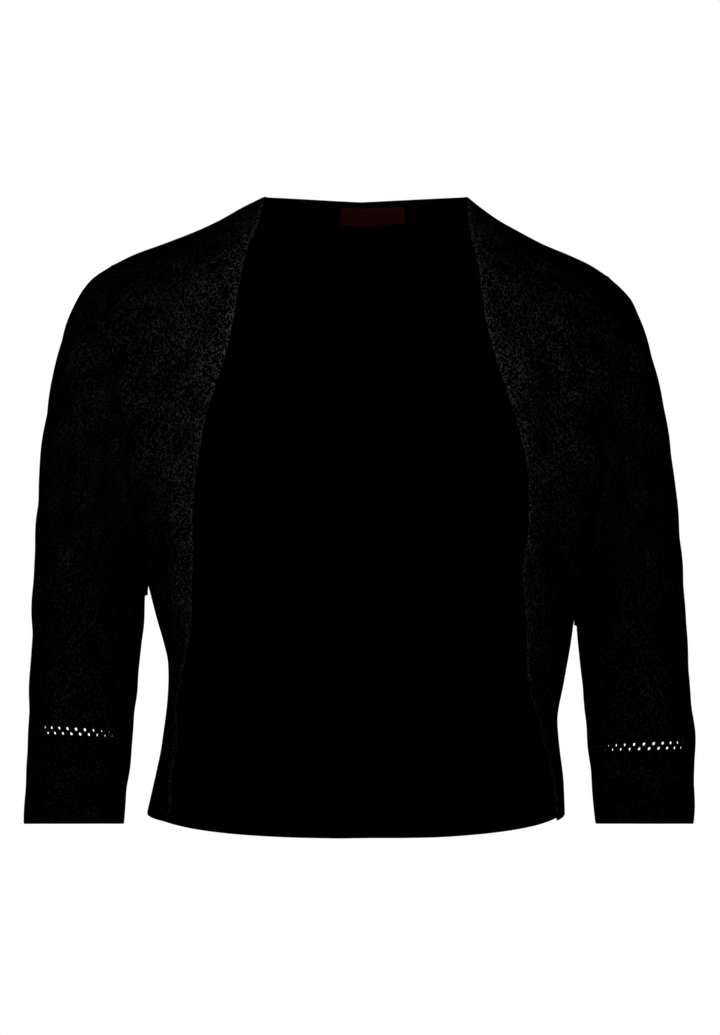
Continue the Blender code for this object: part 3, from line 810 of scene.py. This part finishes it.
def wall_mesh(grid, out, thickness, bulge, start=0, closed=False, keep=None, holes=()):
    """A wall of cloth: the grid as its outer skin, the same moved in by its thickness as its inner one, and rounded
    rims round its edges and its holes. Each hole is a loop of corners with its centre, and the texture starts at
    the column given."""
    mesh = ClothMesh()
    rows, columns = grid.shape[:2]
    across, down = distances(grid, 1), distances(grid, 0)
    uv = np.stack([across - across[:, start, None], down[-1:] - down], axis=-1)
    index = np.arange(rows * columns).reshape(rows, columns)
    same = np.full((rows, columns), -1)
    if closed:
        same[:, -1] = index[:, 0]
    inner_grid = grid - out * thickness
    outer = mesh.add_corners(grid, uv, same)
    inner = mesh.add_corners(inner_grid, uv, np.where(same < 0, -1, same + rows * columns))
    faces_out = np.cross(np.diff(grid, axis=0)[:, :-1], np.diff(grid, axis=1)[:-1])
    flip = np.sum(faces_out * out[:-1, :-1]) < 0
    keep = np.ones((rows - 1, columns - 1), bool) if keep is None else keep
    mesh.add_strips(outer, 0, keep, flip)
    mesh.add_strips(inner, 1, keep, not flip)
    flat = {"grid": grid.reshape(-1, 3), "inner": inner_grid.reshape(-1, 3), "uv": uv.reshape(-1, 2)}
    outward, bulge = out.reshape(-1, 3), bulge.reshape(-1, 1)
    if closed:
        loops = ((index[0], index[1]), (index[-1, ::-1], index[-2, ::-1]))
    else:
        loops = (outline_loop(rows, columns),)
    for loop, inside in loops:
        place = flat["grid"][loop]
        toward = place - flat["grid"][inside]
        tangent = unit(np.concatenate([place[1:], place[1:2]]) - np.concatenate([place[-2:-1], place[:-1]]))
        toward -= tangent * np.sum(toward * tangent, axis=-1, keepdims=True)
        toward -= outward[loop] * np.sum(toward * outward[loop], axis=-1, keepdims=True)
        uv_step = unit(flat["uv"][loop] - flat["uv"][inside])
        add_rim(mesh, loop, rows * columns, flat, unit(toward), uv_step, bulge[loop], RIM_STEPS, not flip)
    for loop, centre in holes:
        toward = unit(centre - flat["grid"][loop])
        still = np.zeros(loop.shape + (2,))
        add_rim(mesh, loop, rows * columns, flat, toward, still, EYELET_RIM_BULGE, EYELET_RIM_STEPS, flip)
    return mesh


def stand_for(made, node):
    """Attaches this piece to the root body and hides the CAD node that it stands for."""
    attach(made, "root")
    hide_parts(node)


def cloth_object(node, piece, settings, materials):
    """A knitted piece, with eyelets cut in it on a sleeve."""
    closed, out = piece["closed"], piece["out"]
    thickness = settings.cloth_thickness / MM
    grid, bulge = drawn_in(piece["grid"], closed, SEAMS[node.split("_")[0]], thickness, settings.seam_gap / MM)
    keep, holes = None, ()
    if closed:
        half = grid.shape[1] // 2
        grid, out = np.roll(grid, -half, axis=1), np.roll(out, -half, axis=1)
        grid, out, bulge = (np.concatenate([part, part[:, :1]], axis=1) for part in (grid, out, bulge))
        grid, keep, holes = eyelets(piece, grid, half, settings)
    start = 0 if node.startswith("front") else grid.shape[1] // 2
    mesh = wall_mesh(grid, out, thickness, bulge, start, closed, keep, holes)
    stand_for(mesh.build(f"knitted_{node}", materials), node)


def between(grid, row, place):
    """The grid read between its rows and columns, along the straight lines that join its points."""
    row, place = np.meshgrid(row, place, indexing="ij")
    i = np.minimum(row.astype(int), grid.shape[0] - 2)
    j = np.minimum(place.astype(int), grid.shape[1] - 2)
    down, across = (row - i)[..., None], (place - j)[..., None]
    upper = mixed(grid[i, j], grid[i, j + 1], across)
    lower = mixed(grid[i + 1, j], grid[i + 1, j + 1], across)
    return mixed(upper, lower, down)


def label_object(back, settings):
    """The neck label: a strip of the back's own surface just below the neck edge, moved inside it."""
    grid, out = back["grid"], back["out"]
    rows, columns = grid.shape[:2]
    strips_down, strips_across = LABEL_STRIPS
    down = LABEL_TOP_DOWN + LABEL_HEIGHT * np.linspace(0, 1, strips_down + 1)
    across = LABEL_CENTRE_X + LABEL_WIDTH * np.linspace(-0.5, 0.5, strips_across + 1)
    row = np.interp(down, -grid[:, columns // 2, 2], np.arange(rows))
    place = np.interp(across, grid[0, :, 0], np.arange(columns))
    grid, out = between(grid, row, place), unit(between(out, row, place))
    grid = grid - out * (settings.cloth_thickness / MM + LABEL_GAP)
    grid, bulge = drawn_in(grid, False, (), LABEL_THICKNESS, 0.0)
    mesh = wall_mesh(grid, out, LABEL_THICKNESS, bulge, strips_across // 2)
    stand_for(mesh.build("woven_label", (label_material(settings),) * 2), "neck_label")


def seam_lines(pieces, side):
    """The lines along which this side's panels are joined, with the directions out of the cloth there."""
    front, sleeve = pieces[f"front_{side}"], pieces[f"sleeve_{side}"]
    below = body_rows() >= 2
    half = sleeve["grid"].shape[1] // 2
    rings = [np.roll(part[0], -half, axis=0) for part in (sleeve["grid"], sleeve["out"])]
    shoulder, flank = (
        [front[part][place] for part in ("grid", "out")] for place in (np.s_[0], np.s_[below, -1])
    )
    return shoulder, flank, [np.concatenate([ring, ring[:1]]) for ring in rings]


def sewn_path(line, out):
    """The path of a yarn that crosses a seam to and fro, with the directions out of the cloth: it swings by the
    sine of an angle, and rises over the gap and sinks beside it by the cosine of twice that angle."""
    length = distances(line[:, None], 0)[:, 0]
    turns = round(length[-1] / SEWING_PITCH)
    at = np.linspace(0, length[-1], turns * SEWING_STEPS + 1)
    place, out = (np.stack([np.interp(at, length, part[:, i]) for i in range(3)], axis=-1) for part in (line, out))
    out = unit(out)
    aside = np.cross(unit(np.gradient(place, axis=0)), out)
    angle = (2 * np.pi * turns * at / length[-1])[:, None]
    rise = SEWING_RISE * np.cos(2 * angle) - SEWING_SUNK
    return place + aside * SEWING_REACH * np.sin(angle) + out * rise, out


def add_tube(mesh, path, out, radius):
    """A yarn of four soft sides along the path, closed at both ends."""
    along = unit(np.gradient(path, axis=0))
    first = unit(out - along * np.sum(out * along, axis=1, keepdims=True))
    second = np.cross(along, first)
    angle = np.linspace(0, 2 * np.pi, 5)[:, None]
    ring = first[:, None] * np.cos(angle) + second[:, None] * np.sin(angle)
    points = path[:, None] + ring * radius
    uv = np.stack(np.broadcast_arrays(radius * angle.T, distances(path[:, None], 0)), axis=-1)
    same = np.full(points.shape[:2], -1)
    same[:, -1] = mesh.count + 5 * np.arange(len(path))
    index = mesh.add_corners(points, uv, same)
    mesh.add_strips(index, 0, flip=True)
    mesh.add_strips(np.array([index[0, [0, 1]], index[0, [3, 2]]]), 0)
    mesh.add_strips(np.array([index[-1, [0, 1]], index[-1, [3, 2]]]), 0, flip=True)


def eyelets(piece, grid, half, settings):
    """Opens the two staggered rows of eyelets: the four cells round each centre are left out, the eight points
    round them are put on a circle about it, and the cloth beyond is pushed aside, less and less with distance."""
    rows, columns = grid.shape[:2]
    count = columns - 1
    keep = np.ones((rows - 1, count), bool)
    radius = settings.eyelet_diameter / MM / 2 + EYELET_RIM_BULGE
    first_row, last_row = piece["rows"]
    band = slice(first_row - EYELET_BAND, last_row + EYELET_BAND + 1)
    centres = [
        (row, (np.arange(number * EYELET_STEP // 2, count, EYELET_STEP) - half) % count)
        for number, row in enumerate(piece["rows"])
    ]
    middles = np.concatenate([grid[row, column_of] for row, column_of in centres])
    spoke = grid[band, :, None] - middles
    far = np.linalg.norm(spoke, axis=-1, keepdims=True)
    fade = np.clip((EYELET_REACH - far) / (EYELET_REACH - EYELET_CELL_RADIUS), 0, 1) * (far > EYELET_CELL_RADIUS)
    pushed = grid.copy()
    pushed[band] += np.sum(unit(spoke) * fade * (radius - EYELET_CELL_RADIUS), axis=2)
    around = ((-1, -1), (-1, 0), (-1, 1), (0, 1), (1, 1), (1, 0), (1, -1), (0, -1), (-1, -1))
    down, along = np.array(around).T
    holes = []
    for row, column_of in centres:
        ring, wrapped = (row + down)[None], (column_of[:, None] + along) % count
        centre = grid[row, column_of][:, None]
        pushed[ring, wrapped] = centre + unit(grid[ring, wrapped] - centre) * radius
        for i in (-1, 0):
            for j in (-1, 0):
                keep[row + i, (column_of + j) % count] = False
        holes.append((ring * columns + wrapped, centre))
    pushed[:, -1] = pushed[:, 0]
    return pushed, keep, holes


def new_group(name, vector, numbers, results):
    """A shader node group with a vector and these numbers, by name and default, as inputs, and these outputs."""
    group = bpy.data.node_groups.new(name, "ShaderNodeTree")
    group.interface.new_socket(vector, in_out="INPUT", socket_type="NodeSocketVector")
    for label, default in numbers.items():
        socket = group.interface.new_socket(label, in_out="INPUT", socket_type="NodeSocketFloat")
        socket.default_value = default
    for label in results:
        group.interface.new_socket(label, in_out="OUTPUT", socket_type="NodeSocketFloat")
    start, end = group.nodes.new("NodeGroupInput"), group.nodes.new("NodeGroupOutput")
    start.location, end.location = (-900, 0), (900, 0)
    return group, start, end


def wire(tree, kind, inputs=(), **settings):
    """A node with these settings, whose inputs, by number or name, take a plain value, a socket or a Value."""
    node = tree.nodes.new(kind)
    for key, value in settings.items():
        setattr(node, key, value)
    for key, value in dict(inputs).items():
        value = value.socket if isinstance(value, Value) else value
        if isinstance(value, bpy.types.NodeSocket):
            tree.links.new(value, node.inputs[key])
        else:
            node.inputs[key].default_value = value
    return node


class Value:
    """A number in a shader. Each sign that is put to it adds a Math node."""

    def __init__(self, tree, socket):
        self.tree, self.socket = tree, socket

    def __add__(self, other):
        return maths("ADD", self, other)

    def __sub__(self, other):
        return maths("SUBTRACT", self, other)

    def __rsub__(self, other):
        return maths("SUBTRACT", other, self)

    def __mul__(self, other):
        return maths("MULTIPLY", self, other)

    def __truediv__(self, other):
        return maths("DIVIDE", self, other)

    def __pow__(self, other):
        return maths("POWER", self, other)

    def __rpow__(self, other):
        return maths("POWER", other, self)


def maths(operation, *values):
    """The result of a Math node on these values, of which one at least is a Value."""
    tree = next(value.tree for value in values if isinstance(value, Value))
    return Value(tree, wire(tree, "ShaderNodeMath", dict(enumerate(values)), operation=operation).outputs[0])


def parts(tree, vector):
    """The first two numbers of a vector."""
    outputs = wire(tree, "ShaderNodeSeparateXYZ", {"Vector": vector}).outputs
    return Value(tree, outputs[0]), Value(tree, outputs[1])


def blended(tree, share, first, second):
    """The colour this far from the first to the second."""
    return wire(tree, "ShaderNodeMix", {0: share, 6: first, 7: second}, data_type="RGBA").outputs[2]


def hump(value):
    """1 - (2 x - 1) squared: nought at 0 and 1, and 1 halfway between."""
    doubled = value * 2.0 - 1.0
    return 1.0 - doubled * doubled


def stitch_group():
    """Knitted loops on texture coordinates in metres. Each stitch is a V of two slanting legs on the face, or a low
    arch on the reverse; the group puts out their height, a random number for each leg and a slow mottle."""
    name = "Knitted stitches"
    if name in bpy.data.node_groups:
        return bpy.data.node_groups[name]
    results = ("Face Height", "Reverse Height", "Leg Number", "Mottle")
    group, start, end = new_group(name, "Cloth", STITCH_DEFAULTS, results)
    cloth = start.outputs["Cloth"]
    flat = {"noise_dimensions": "2D"}
    drift, mottle = (
        wire(group, "ShaderNodeTexNoise", {"Vector": cloth, "Scale": scale, "Detail": detail}, **flat)
        for scale, detail in (STITCH_DRIFT, STITCH_MOTTLE)
    )
    width, height, slant, unevenness = (Value(group, start.outputs[label]) for label in STITCH_DEFAULTS)
    x, y = parts(group, cloth)
    shift_x, shift_y = parts(group, drift.outputs["Color"])
    across = (shift_x - 0.5) * unevenness + x / width
    down = (shift_y - 0.5) * unevenness + y / height
    within = maths("FRACT", across)
    slanted = maths("ABSOLUTE", within - 0.5) * 2.0
    leg = maths("SQRT", maths("MAXIMUM", hump(slanted), 0.0))
    slanted = slanted * slant + down
    face = leg * (hump(maths("FRACT", slanted)) * LOOP_SHARE + (1 - LOOP_SHARE))
    arch = hump(within)
    reverse = hump(maths("FRACT", arch * ARCH_BEND + down)) * (arch * ARCH_SHARE + (1 - ARCH_SHARE))
    cell = wire(group, "ShaderNodeCombineXYZ", {0: maths("FLOOR", across * 2.0), 1: maths("FLOOR", slanted)})
    random = wire(group, "ShaderNodeTexWhiteNoise", {"Vector": cell.outputs[0]}, **flat)
    sockets = (face.socket, reverse.socket, random.outputs["Value"], mottle.outputs["Fac"])
    for label, socket in zip(results, sockets):
        group.links.new(socket, end.inputs[label])
    return group


def new_material(name, plain, roughness, gloss=0.5):
    """A material with a plain finish, its node tree and its shader."""
    made = bpy.data.materials.new(name)
    made.use_nodes = True
    made.diffuse_color = plain
    shader = made.node_tree.nodes["Principled BSDF"]
    shader.inputs["Base Color"].default_value = plain
    shader.inputs["Roughness"].default_value = roughness
    shader.inputs["Specular IOR Level"].default_value = gloss
    return made, made.node_tree, shader


def finish(tree, shader, shade, height, strength, depth):
    """Wires the colour and the bump into the shader."""
    tree.links.new(shade, shader.inputs["Base Color"])
    bump = wire(tree, "ShaderNodeBump", {"Height": height, "Strength": strength, "Distance": depth})
    tree.links.new(bump.outputs[0], shader.inputs["Normal"])


def knit_material(name, settings, reverse=False, painted_edge_highlight=0.0):
    """Fine knit: a bump of stitches in near-black yarn, of which a few legs here and there carry painted glints, a
    painted highlight in the base colour. The painted glints are strongest on the stitch tops and where the cloth is
    seen square on, and a painted highlight lies beside a free edge, from which the texture's first axis starts."""
    if name in bpy.data.materials:
        return bpy.data.materials[name]
    yarn = tuple(settings.yarn_colour)
    made, tree, shader = new_material(name, yarn, REVERSE_ROUGHNESS if reverse else FACE_ROUGHNESS, 0.0)
    uv = wire(tree, "ShaderNodeUVMap", uv_map="cloth").outputs["UV"]
    sizes = {"Stitch Width": settings.stitch_width, "Stitch Height": settings.stitch_height}
    stitches = wire(tree, "ShaderNodeGroup", {"Cloth": uv, **sizes}, node_tree=stitch_group())
    labels = ("Leg Number", "Mottle", "Reverse Height" if reverse else "Face Height")
    leg, mottle, height = (Value(tree, stitches.outputs[label]) for label in labels)
    aside = Value(tree, wire(tree, "ShaderNodeLayerWeight", {"Blend": 0.5}).outputs["Facing"])
    # Painted glints: a few stitch legs get a lighter base colour that stands in for highlights, patchy with the
    # mottle and strongest on the stitch tops
    glint_share = leg**settings.painted_glint_rarity * (mottle * GLINT_PATCH_GAIN - GLINT_PATCH_LOSS) * height
    # The painted glints fade as the cloth turns away from the viewer, as a highlight does
    glint_share = glint_share * (1.0 - aside) ** settings.painted_glint_falloff
    # Painted highlight beside a front's free edge, halving with distance, and a brighter painted highlight on its
    # outermost rim
    if painted_edge_highlight:
        far = maths("ABSOLUTE", parts(tree, uv)[0])
        near, rim = (0.5 ** (far / (halving * MM)) for halving in (EDGE_HIGHLIGHT_HALVING, RIM_HIGHLIGHT_HALVING))
        glint_share = glint_share * (near * painted_edge_highlight + GLINT_AWAY_FROM_EDGE + rim * (RIM_PAINTED_HIGHLIGHT * painted_edge_highlight))
    # The reverse's glints are kept far darker than the face's: painted shade of the garment's inside
    light = settings.reverse_shaded_glint_colour if reverse else settings.yarn_painted_glint_colour
    finish(tree, shader, blended(tree, glint_share, yarn, tuple(light)), height, 1.0, KNIT_BUMP)
    return made


def cloth_materials(settings, free_edge=False):
    """The finishes of a piece's face and reverse; a front's face has a painted highlight beside its free edge, and
    the reverse's glints are darkened as painted shade.
    """
    if free_edge:
        # The fronts' face carries the painted edge highlight
        face = knit_material("knit face by the edge", settings, painted_edge_highlight=settings.painted_edge_highlight)
    else:
        face = knit_material("knit face", settings)
    return face, knit_material("knit reverse", settings, reverse=True)


def label_material(settings):
    """Woven satin: a fine twill, a thin lighter line inside the border, and dark stitches down both short ends."""
    plain = tuple(settings.label_colour)
    made, tree, shader = new_material("woven label", plain, LABEL_ROUGHNESS, LABEL_GLOSS)
    across, up = parts(tree, wire(tree, "ShaderNodeUVMap", uv_map="cloth").outputs["UV"])
    from_end = LABEL_WIDTH / 2 * MM - maths("ABSOLUTE", across)
    inside = maths("MINIMUM", from_end, maths("MINIMUM", up, LABEL_HEIGHT * MM - up))
    line = maths("COMPARE", inside, LABEL_LINE_IN * MM, LABEL_LINE_WIDTH / 2 * MM)
    beside = maths("COMPARE", from_end, LABEL_STITCH_IN * MM, LABEL_STITCH_WIDTH / 2 * MM)
    beat = maths("FRACT", up / (LABEL_STITCH_PITCH * MM))
    sewn = beside * maths("LESS_THAN", beat, LABEL_STITCH_SHARE)
    lined = blended(tree, line, plain, tuple(settings.label_line_colour))
    shade = blended(tree, sewn, lined, tuple(settings.yarn_colour))
    twill = maths("FRACT", (across + up) / (LABEL_TWILL_PITCH * MM))
    finish(tree, shader, shade, hump(twill), LABEL_BUMP_STRENGTH, LABEL_BUMP)
    return made


def number(label, text, default, low, high, **kind):
    """A described number with limits."""
    return bpy.props.FloatProperty(name=label, description=text, default=default, min=low, max=high, **kind)


def length(label, text, default, low, high):
    """A described length, shown to a tenth of a millimetre."""
    return number(label, text, default, low, high, unit="LENGTH", precision=4)


def power(label, text, default):
    """The described power of a light."""
    return number(label, text, default, 0.0, HIGHEST_POWER, unit="POWER")


def colour(label, text, red, green, blue):
    """A described opaque colour."""
    return bpy.props.FloatVectorProperty(
        name=label, description=text, subtype="COLOR", size=4, min=0.0, max=1.0, default=(red, green, blue, 1.0))


class ShrugCloth(bpy.types.PropertyGroup):
    """Sizes and colours of the knitted cloth."""

    cloth_thickness: length("Cloth Thickness", "Thickness of the knitted cloth", 0.0018, 0.001, 0.003)
    seam_gap: length("Seam Gap", "Gap between two pieces at a seam", 0.0003, 0.0001, 0.001)
    stitch_width: length("Stitch Width", "Width of one knitted stitch", 0.0012, 0.0005, 0.01)
    stitch_height: length("Stitch Height", "Height of one knitted stitch", 0.0008, 0.0005, 0.01)
    eyelet_diameter: length("Eyelet Diameter", "Clear width of each eyelet above the cuffs", 0.0027, 0.001, 0.0034)
    fold_strength: number("Fold Strength", "How deep the folds are, as a share of their own depth", 1.0, 0.0, 1.5)
    yarn_colour: colour("Yarn Colour", "Colour of the yarn", 0.0003, 0.0003, 0.00032)
    # The colour of the painted glints, a painted highlight on a few stitches
    yarn_painted_glint_colour: colour("Yarn Painted Glint Colour", "Colour of the lightest stitches", 0.088, 0.088, 0.0905)
    # The inside's painted glints, kept dark as painted shade of the garment's inside
    reverse_shaded_glint_colour: colour(
        "Reverse Painted Shade Glint Colour", "Colour of the painted glints on the inside, kept dark as painted shade", 0.003, 0.003, 0.0031)
    painted_glint_rarity: number("Painted Glint Rarity", "How seldom a stitch carries a painted glint", 8.0, 1.0, 20.0)
    # How fast the painted glints fade as the cloth turns away from the viewer
    painted_glint_falloff: number(
        "Painted Glint Falloff", "How fast the painted glints fade as the cloth turns aside", 0.8, 0.0, 12.0)
    # Strength of the painted highlight beside the fronts' free edges
    painted_edge_highlight: number(
        "Painted Edge Highlight", "How strong the painted highlight is beside the fronts' free edges", 1.8, 0.0, 6.0)
    label_colour: colour("Label Colour", "Colour of the woven neck label", 0.0125, 0.0008, 0.0013)
    label_line_colour: colour(
        "Label Line Colour", "Colour of the thin line inside the label's border", 0.022, 0.004, 0.005)


def knit(settings, names, free_edge=False):
    """Builds these pieces of the garment."""
    pieces = garment(settings)
    for name in names:
        cloth_object(name, pieces[name], settings, cloth_materials(settings, free_edge))


class SHRUG_OT_back(bpy.types.Operator):
    """Builds the back"""

    bl_idname = "shrug.back"
    bl_label = "Back"
    bl_options = {"REGISTER", "UNDO"}

    def execute(self, context):
        knit(context.scene.shrug_cloth, ("back",))
        return {"FINISHED"}


class SHRUG_OT_fronts(bpy.types.Operator):
    """Builds the two fronts"""

    bl_idname = "shrug.fronts"
    bl_label = "Fronts"
    bl_options = {"REGISTER", "UNDO"}

    def execute(self, context):
        knit(context.scene.shrug_cloth, ("front_right", "front_left"), free_edge=True)
        return {"FINISHED"}


class SHRUG_OT_sleeves(bpy.types.Operator):
    """Builds the two sleeves with their rows of eyelets"""

    bl_idname = "shrug.sleeves"
    bl_label = "Sleeves"
    bl_options = {"REGISTER", "UNDO"}

    def execute(self, context):
        knit(context.scene.shrug_cloth, ("sleeve_right", "sleeve_left"))
        return {"FINISHED"}


class SHRUG_OT_sewing(bpy.types.Operator):
    """Builds the yarn that sews each side's shoulder, armhole and side seams"""

    bl_idname = "shrug.sewing"
    bl_label = "Sewing"
    bl_options = {"REGISTER", "UNDO"}

    def execute(self, context):
        settings = context.scene.shrug_cloth
        pieces = garment(settings)
        for side in HAND:
            mesh = ClothMesh()
            for line, out in seam_lines(pieces, side):
                add_tube(mesh, *sewn_path(line, out), SEWING_RADIUS)
                add_tube(mesh, line - out * settings.cloth_thickness / MM / 2, out, INNER_YARN_RADIUS)
            made = mesh.build(f"sewing_{side}", cloth_materials(settings)[:1])
            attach(made, "root")
        return {"FINISHED"}


class SHRUG_OT_label(bpy.types.Operator):
    """Builds the bare woven label inside the back's neck edge"""

    bl_idname = "shrug.label"
    bl_label = "Neck Label"
    bl_options = {"REGISTER", "UNDO"}

    def execute(self, context):
        settings = context.scene.shrug_cloth
        label_object(garment(settings)["back"], settings)
        return {"FINISHED"}


class ShrugStage(bpy.types.PropertyGroup):
    """Sizes, strengths and colours of the studio."""

    floor_drop: length("Floor Drop", "How far the floor is below the shoulder line", 1.4, 0.6, 2.0)
    floor_size: length("Floor Size", "Width of the floor", 9.0, 2.0, 12.0)
    floor_colour: colour("Floor Colour", "Colour of the floor", 0.85, 0.85, 0.85)
    floor_paleness: number(
        "Floor Paleness", "How much lighter the floor looks than its light makes it", 0.7, 0.0, 1.0)
    key_power: power("Key Power", "Power of the soft light on the chest", 370.0)
    fill_power: power("Fill Power", "Power of each of the two large lights in front", 1.6)
    side_power: power("Side Power", "Power of each of the two lights on the sleeve caps", 120.0)
    rear_power: power("Rear Power", "Power of each of the two large lights behind", 36.0)
    top_power: power("Top Power", "Power of the light overhead", 4.0)
    surround_strength: number(
        "Surround Strength", "How much light the white surroundings give", 0.015, 0.0, 1.0)


def floor_material(pale, paleness):
    """Pale matt floor with a very faint mottle on Object coordinates. Like the surroundings it looks lighter to the
    camera than the light that falls on it makes it, so that the cloth is not lit from below."""
    made, tree, shader = new_material("studio floor", pale, FLOOR_ROUGHNESS)
    where = wire(tree, "ShaderNodeTexCoord")
    noise = wire(tree, "ShaderNodeTexNoise", {"Vector": where.outputs["Object"], "Scale": FLOOR_SCALE})
    paler = tuple(min(1.0, value * FLOOR_MOTTLE) for value in pale[:3]) + (1.0,)
    tint = blended(tree, noise.outputs["Fac"], pale, paler)
    seen = Value(tree, wire(tree, "ShaderNodeLightPath").outputs["Is Camera Ray"]) * paleness
    for name, socket in (("Base Color", tint), ("Emission Color", tint), ("Emission Strength", seen.socket)):
        tree.links.new(socket, shader.inputs[name])
    return made


def add_light(stage, name, hand=""):
    """One of the studio's lights, turned to face its target; with a hand it is the one on that side."""
    facts = LIGHTS[name]
    light = bpy.data.lights.new(f"{hand} {name}".strip(), "SPOT" if "cone" in facts else "AREA")
    light.energy = getattr(stage, facts["power"])
    if "cone" in facts:
        light.spot_size = np.radians(facts["cone"])
        light.spot_blend = SPOT_BLEND
        light.shadow_soft_size = SPOT_RADIUS
    else:
        light.size = facts["size"]
    place, target = Vector(facts["place"]), Vector(facts["target"])
    for point in (place, target):
        point.x *= HAND.get(hand, 1.0)
    made = placed(light.name, light)
    made.location = place
    made.rotation_euler = (target - place).to_track_quat("-Z", "Y").to_euler()


class SHRUG_OT_stage(bpy.types.Operator):
    """Builds the pale floor, the soft lights, the white surroundings and the camera"""

    bl_idname = "shrug.stage"
    bl_label = "Studio"
    bl_options = {"REGISTER", "UNDO"}

    def execute(self, context):
        stage = context.scene.shrug_stage
        half = stage.floor_size / 2
        floor = bpy.data.meshes.new("floor")
        corners = [(-half, -half), (half, -half), (half, half), (-half, half)]
        floor.from_pydata([(x, y, -stage.floor_drop) for x, y in corners], [], [(0, 1, 2, 3)])
        floor.materials.append(floor_material(tuple(stage.floor_colour), stage.floor_paleness))
        placed("floor", floor)
        add_light(stage, "key light")
        for hand in HAND:
            for name in ("side light", "softbox", "rear softbox"):
                add_light(stage, name, hand)
        add_light(stage, "top light")
        world = bpy.data.worlds.new("studio")
        world.use_nodes = True
        tree = world.node_tree
        seen = tree.nodes["Background"]
        seen.inputs["Color"].default_value = (1.0, 1.0, 1.0, 1.0)
        around = wire(tree, "ShaderNodeBackground",
                      {"Color": (1.0, 1.0, 1.0, 1.0), "Strength": stage.surround_strength})
        path = wire(tree, "ShaderNodeLightPath")
        both = wire(tree, "ShaderNodeMixShader", {0: path.outputs["Is Camera Ray"], 1: around.outputs[0],
                                                  2: seen.outputs[0]})
        tree.links.new(both.outputs[0], tree.nodes["World Output"].inputs[0])
        context.scene.world = world
        context.scene.view_settings.view_transform = "Standard"
        camera = bpy.data.cameras.new("camera")
        camera.sensor_width = SENSOR
        camera.lens = SENSOR * CAMERA_DISTANCE / VIEW_HEIGHT
        seat = placed("camera", camera)
        seat.location = (0.0, -CAMERA_DISTANCE, CAMERA_HEIGHT)
        seat.rotation_euler = (np.pi / 2, 0.0, 0.0)
        context.scene.camera = seat
        return {"FINISHED"}


class SHRUG_PT_panel(bpy.types.Panel):
    """Lists the shrug's pieces and their sizes"""

    bl_idname = "SHRUG_PT_panel"
    bl_label = "Knitted Shrug"
    bl_space_type = "VIEW_3D"
    bl_region_type = "UI"
    bl_category = "Shrug"

    def draw(self, context):
        for settings in (context.scene.shrug_cloth, context.scene.shrug_stage):
            box = self.layout.box()
            for name in settings.bl_rna.properties.keys():
                if name not in ("rna_type", "name"):
                    box.prop(settings, name)
        for operator in OPERATORS:
            self.layout.operator(operator.bl_idname)


GROUPS = (ShrugCloth, ShrugStage)
OPERATORS = (
    SHRUG_OT_back, SHRUG_OT_fronts, SHRUG_OT_sleeves, SHRUG_OT_sewing, SHRUG_OT_label, SHRUG_OT_stage,
)


def register():
    """Makes the settings, the operators and the panel known to Blender."""
    for kind in (*GROUPS, *OPERATORS, SHRUG_PT_panel):
        bpy.utils.register_class(kind)
    bpy.types.Scene.shrug_cloth = bpy.props.PointerProperty(type=ShrugCloth)
    bpy.types.Scene.shrug_stage = bpy.props.PointerProperty(type=ShrugStage)


def unregister():
    """Takes back what register made known."""
    del bpy.types.Scene.shrug_stage
    del bpy.types.Scene.shrug_cloth
    for kind in reversed((*GROUPS, *OPERATORS, SHRUG_PT_panel)):
        bpy.utils.unregister_class(kind)


def main():
    """Builds every piece and the studio."""
    register()
    bpy.ops.shrug.back()
    bpy.ops.shrug.fronts()
    bpy.ops.shrug.sleeves()
    bpy.ops.shrug.sewing()
    bpy.ops.shrug.label()
    bpy.ops.shrug.stage()


if __name__ == "__main__":
    main()
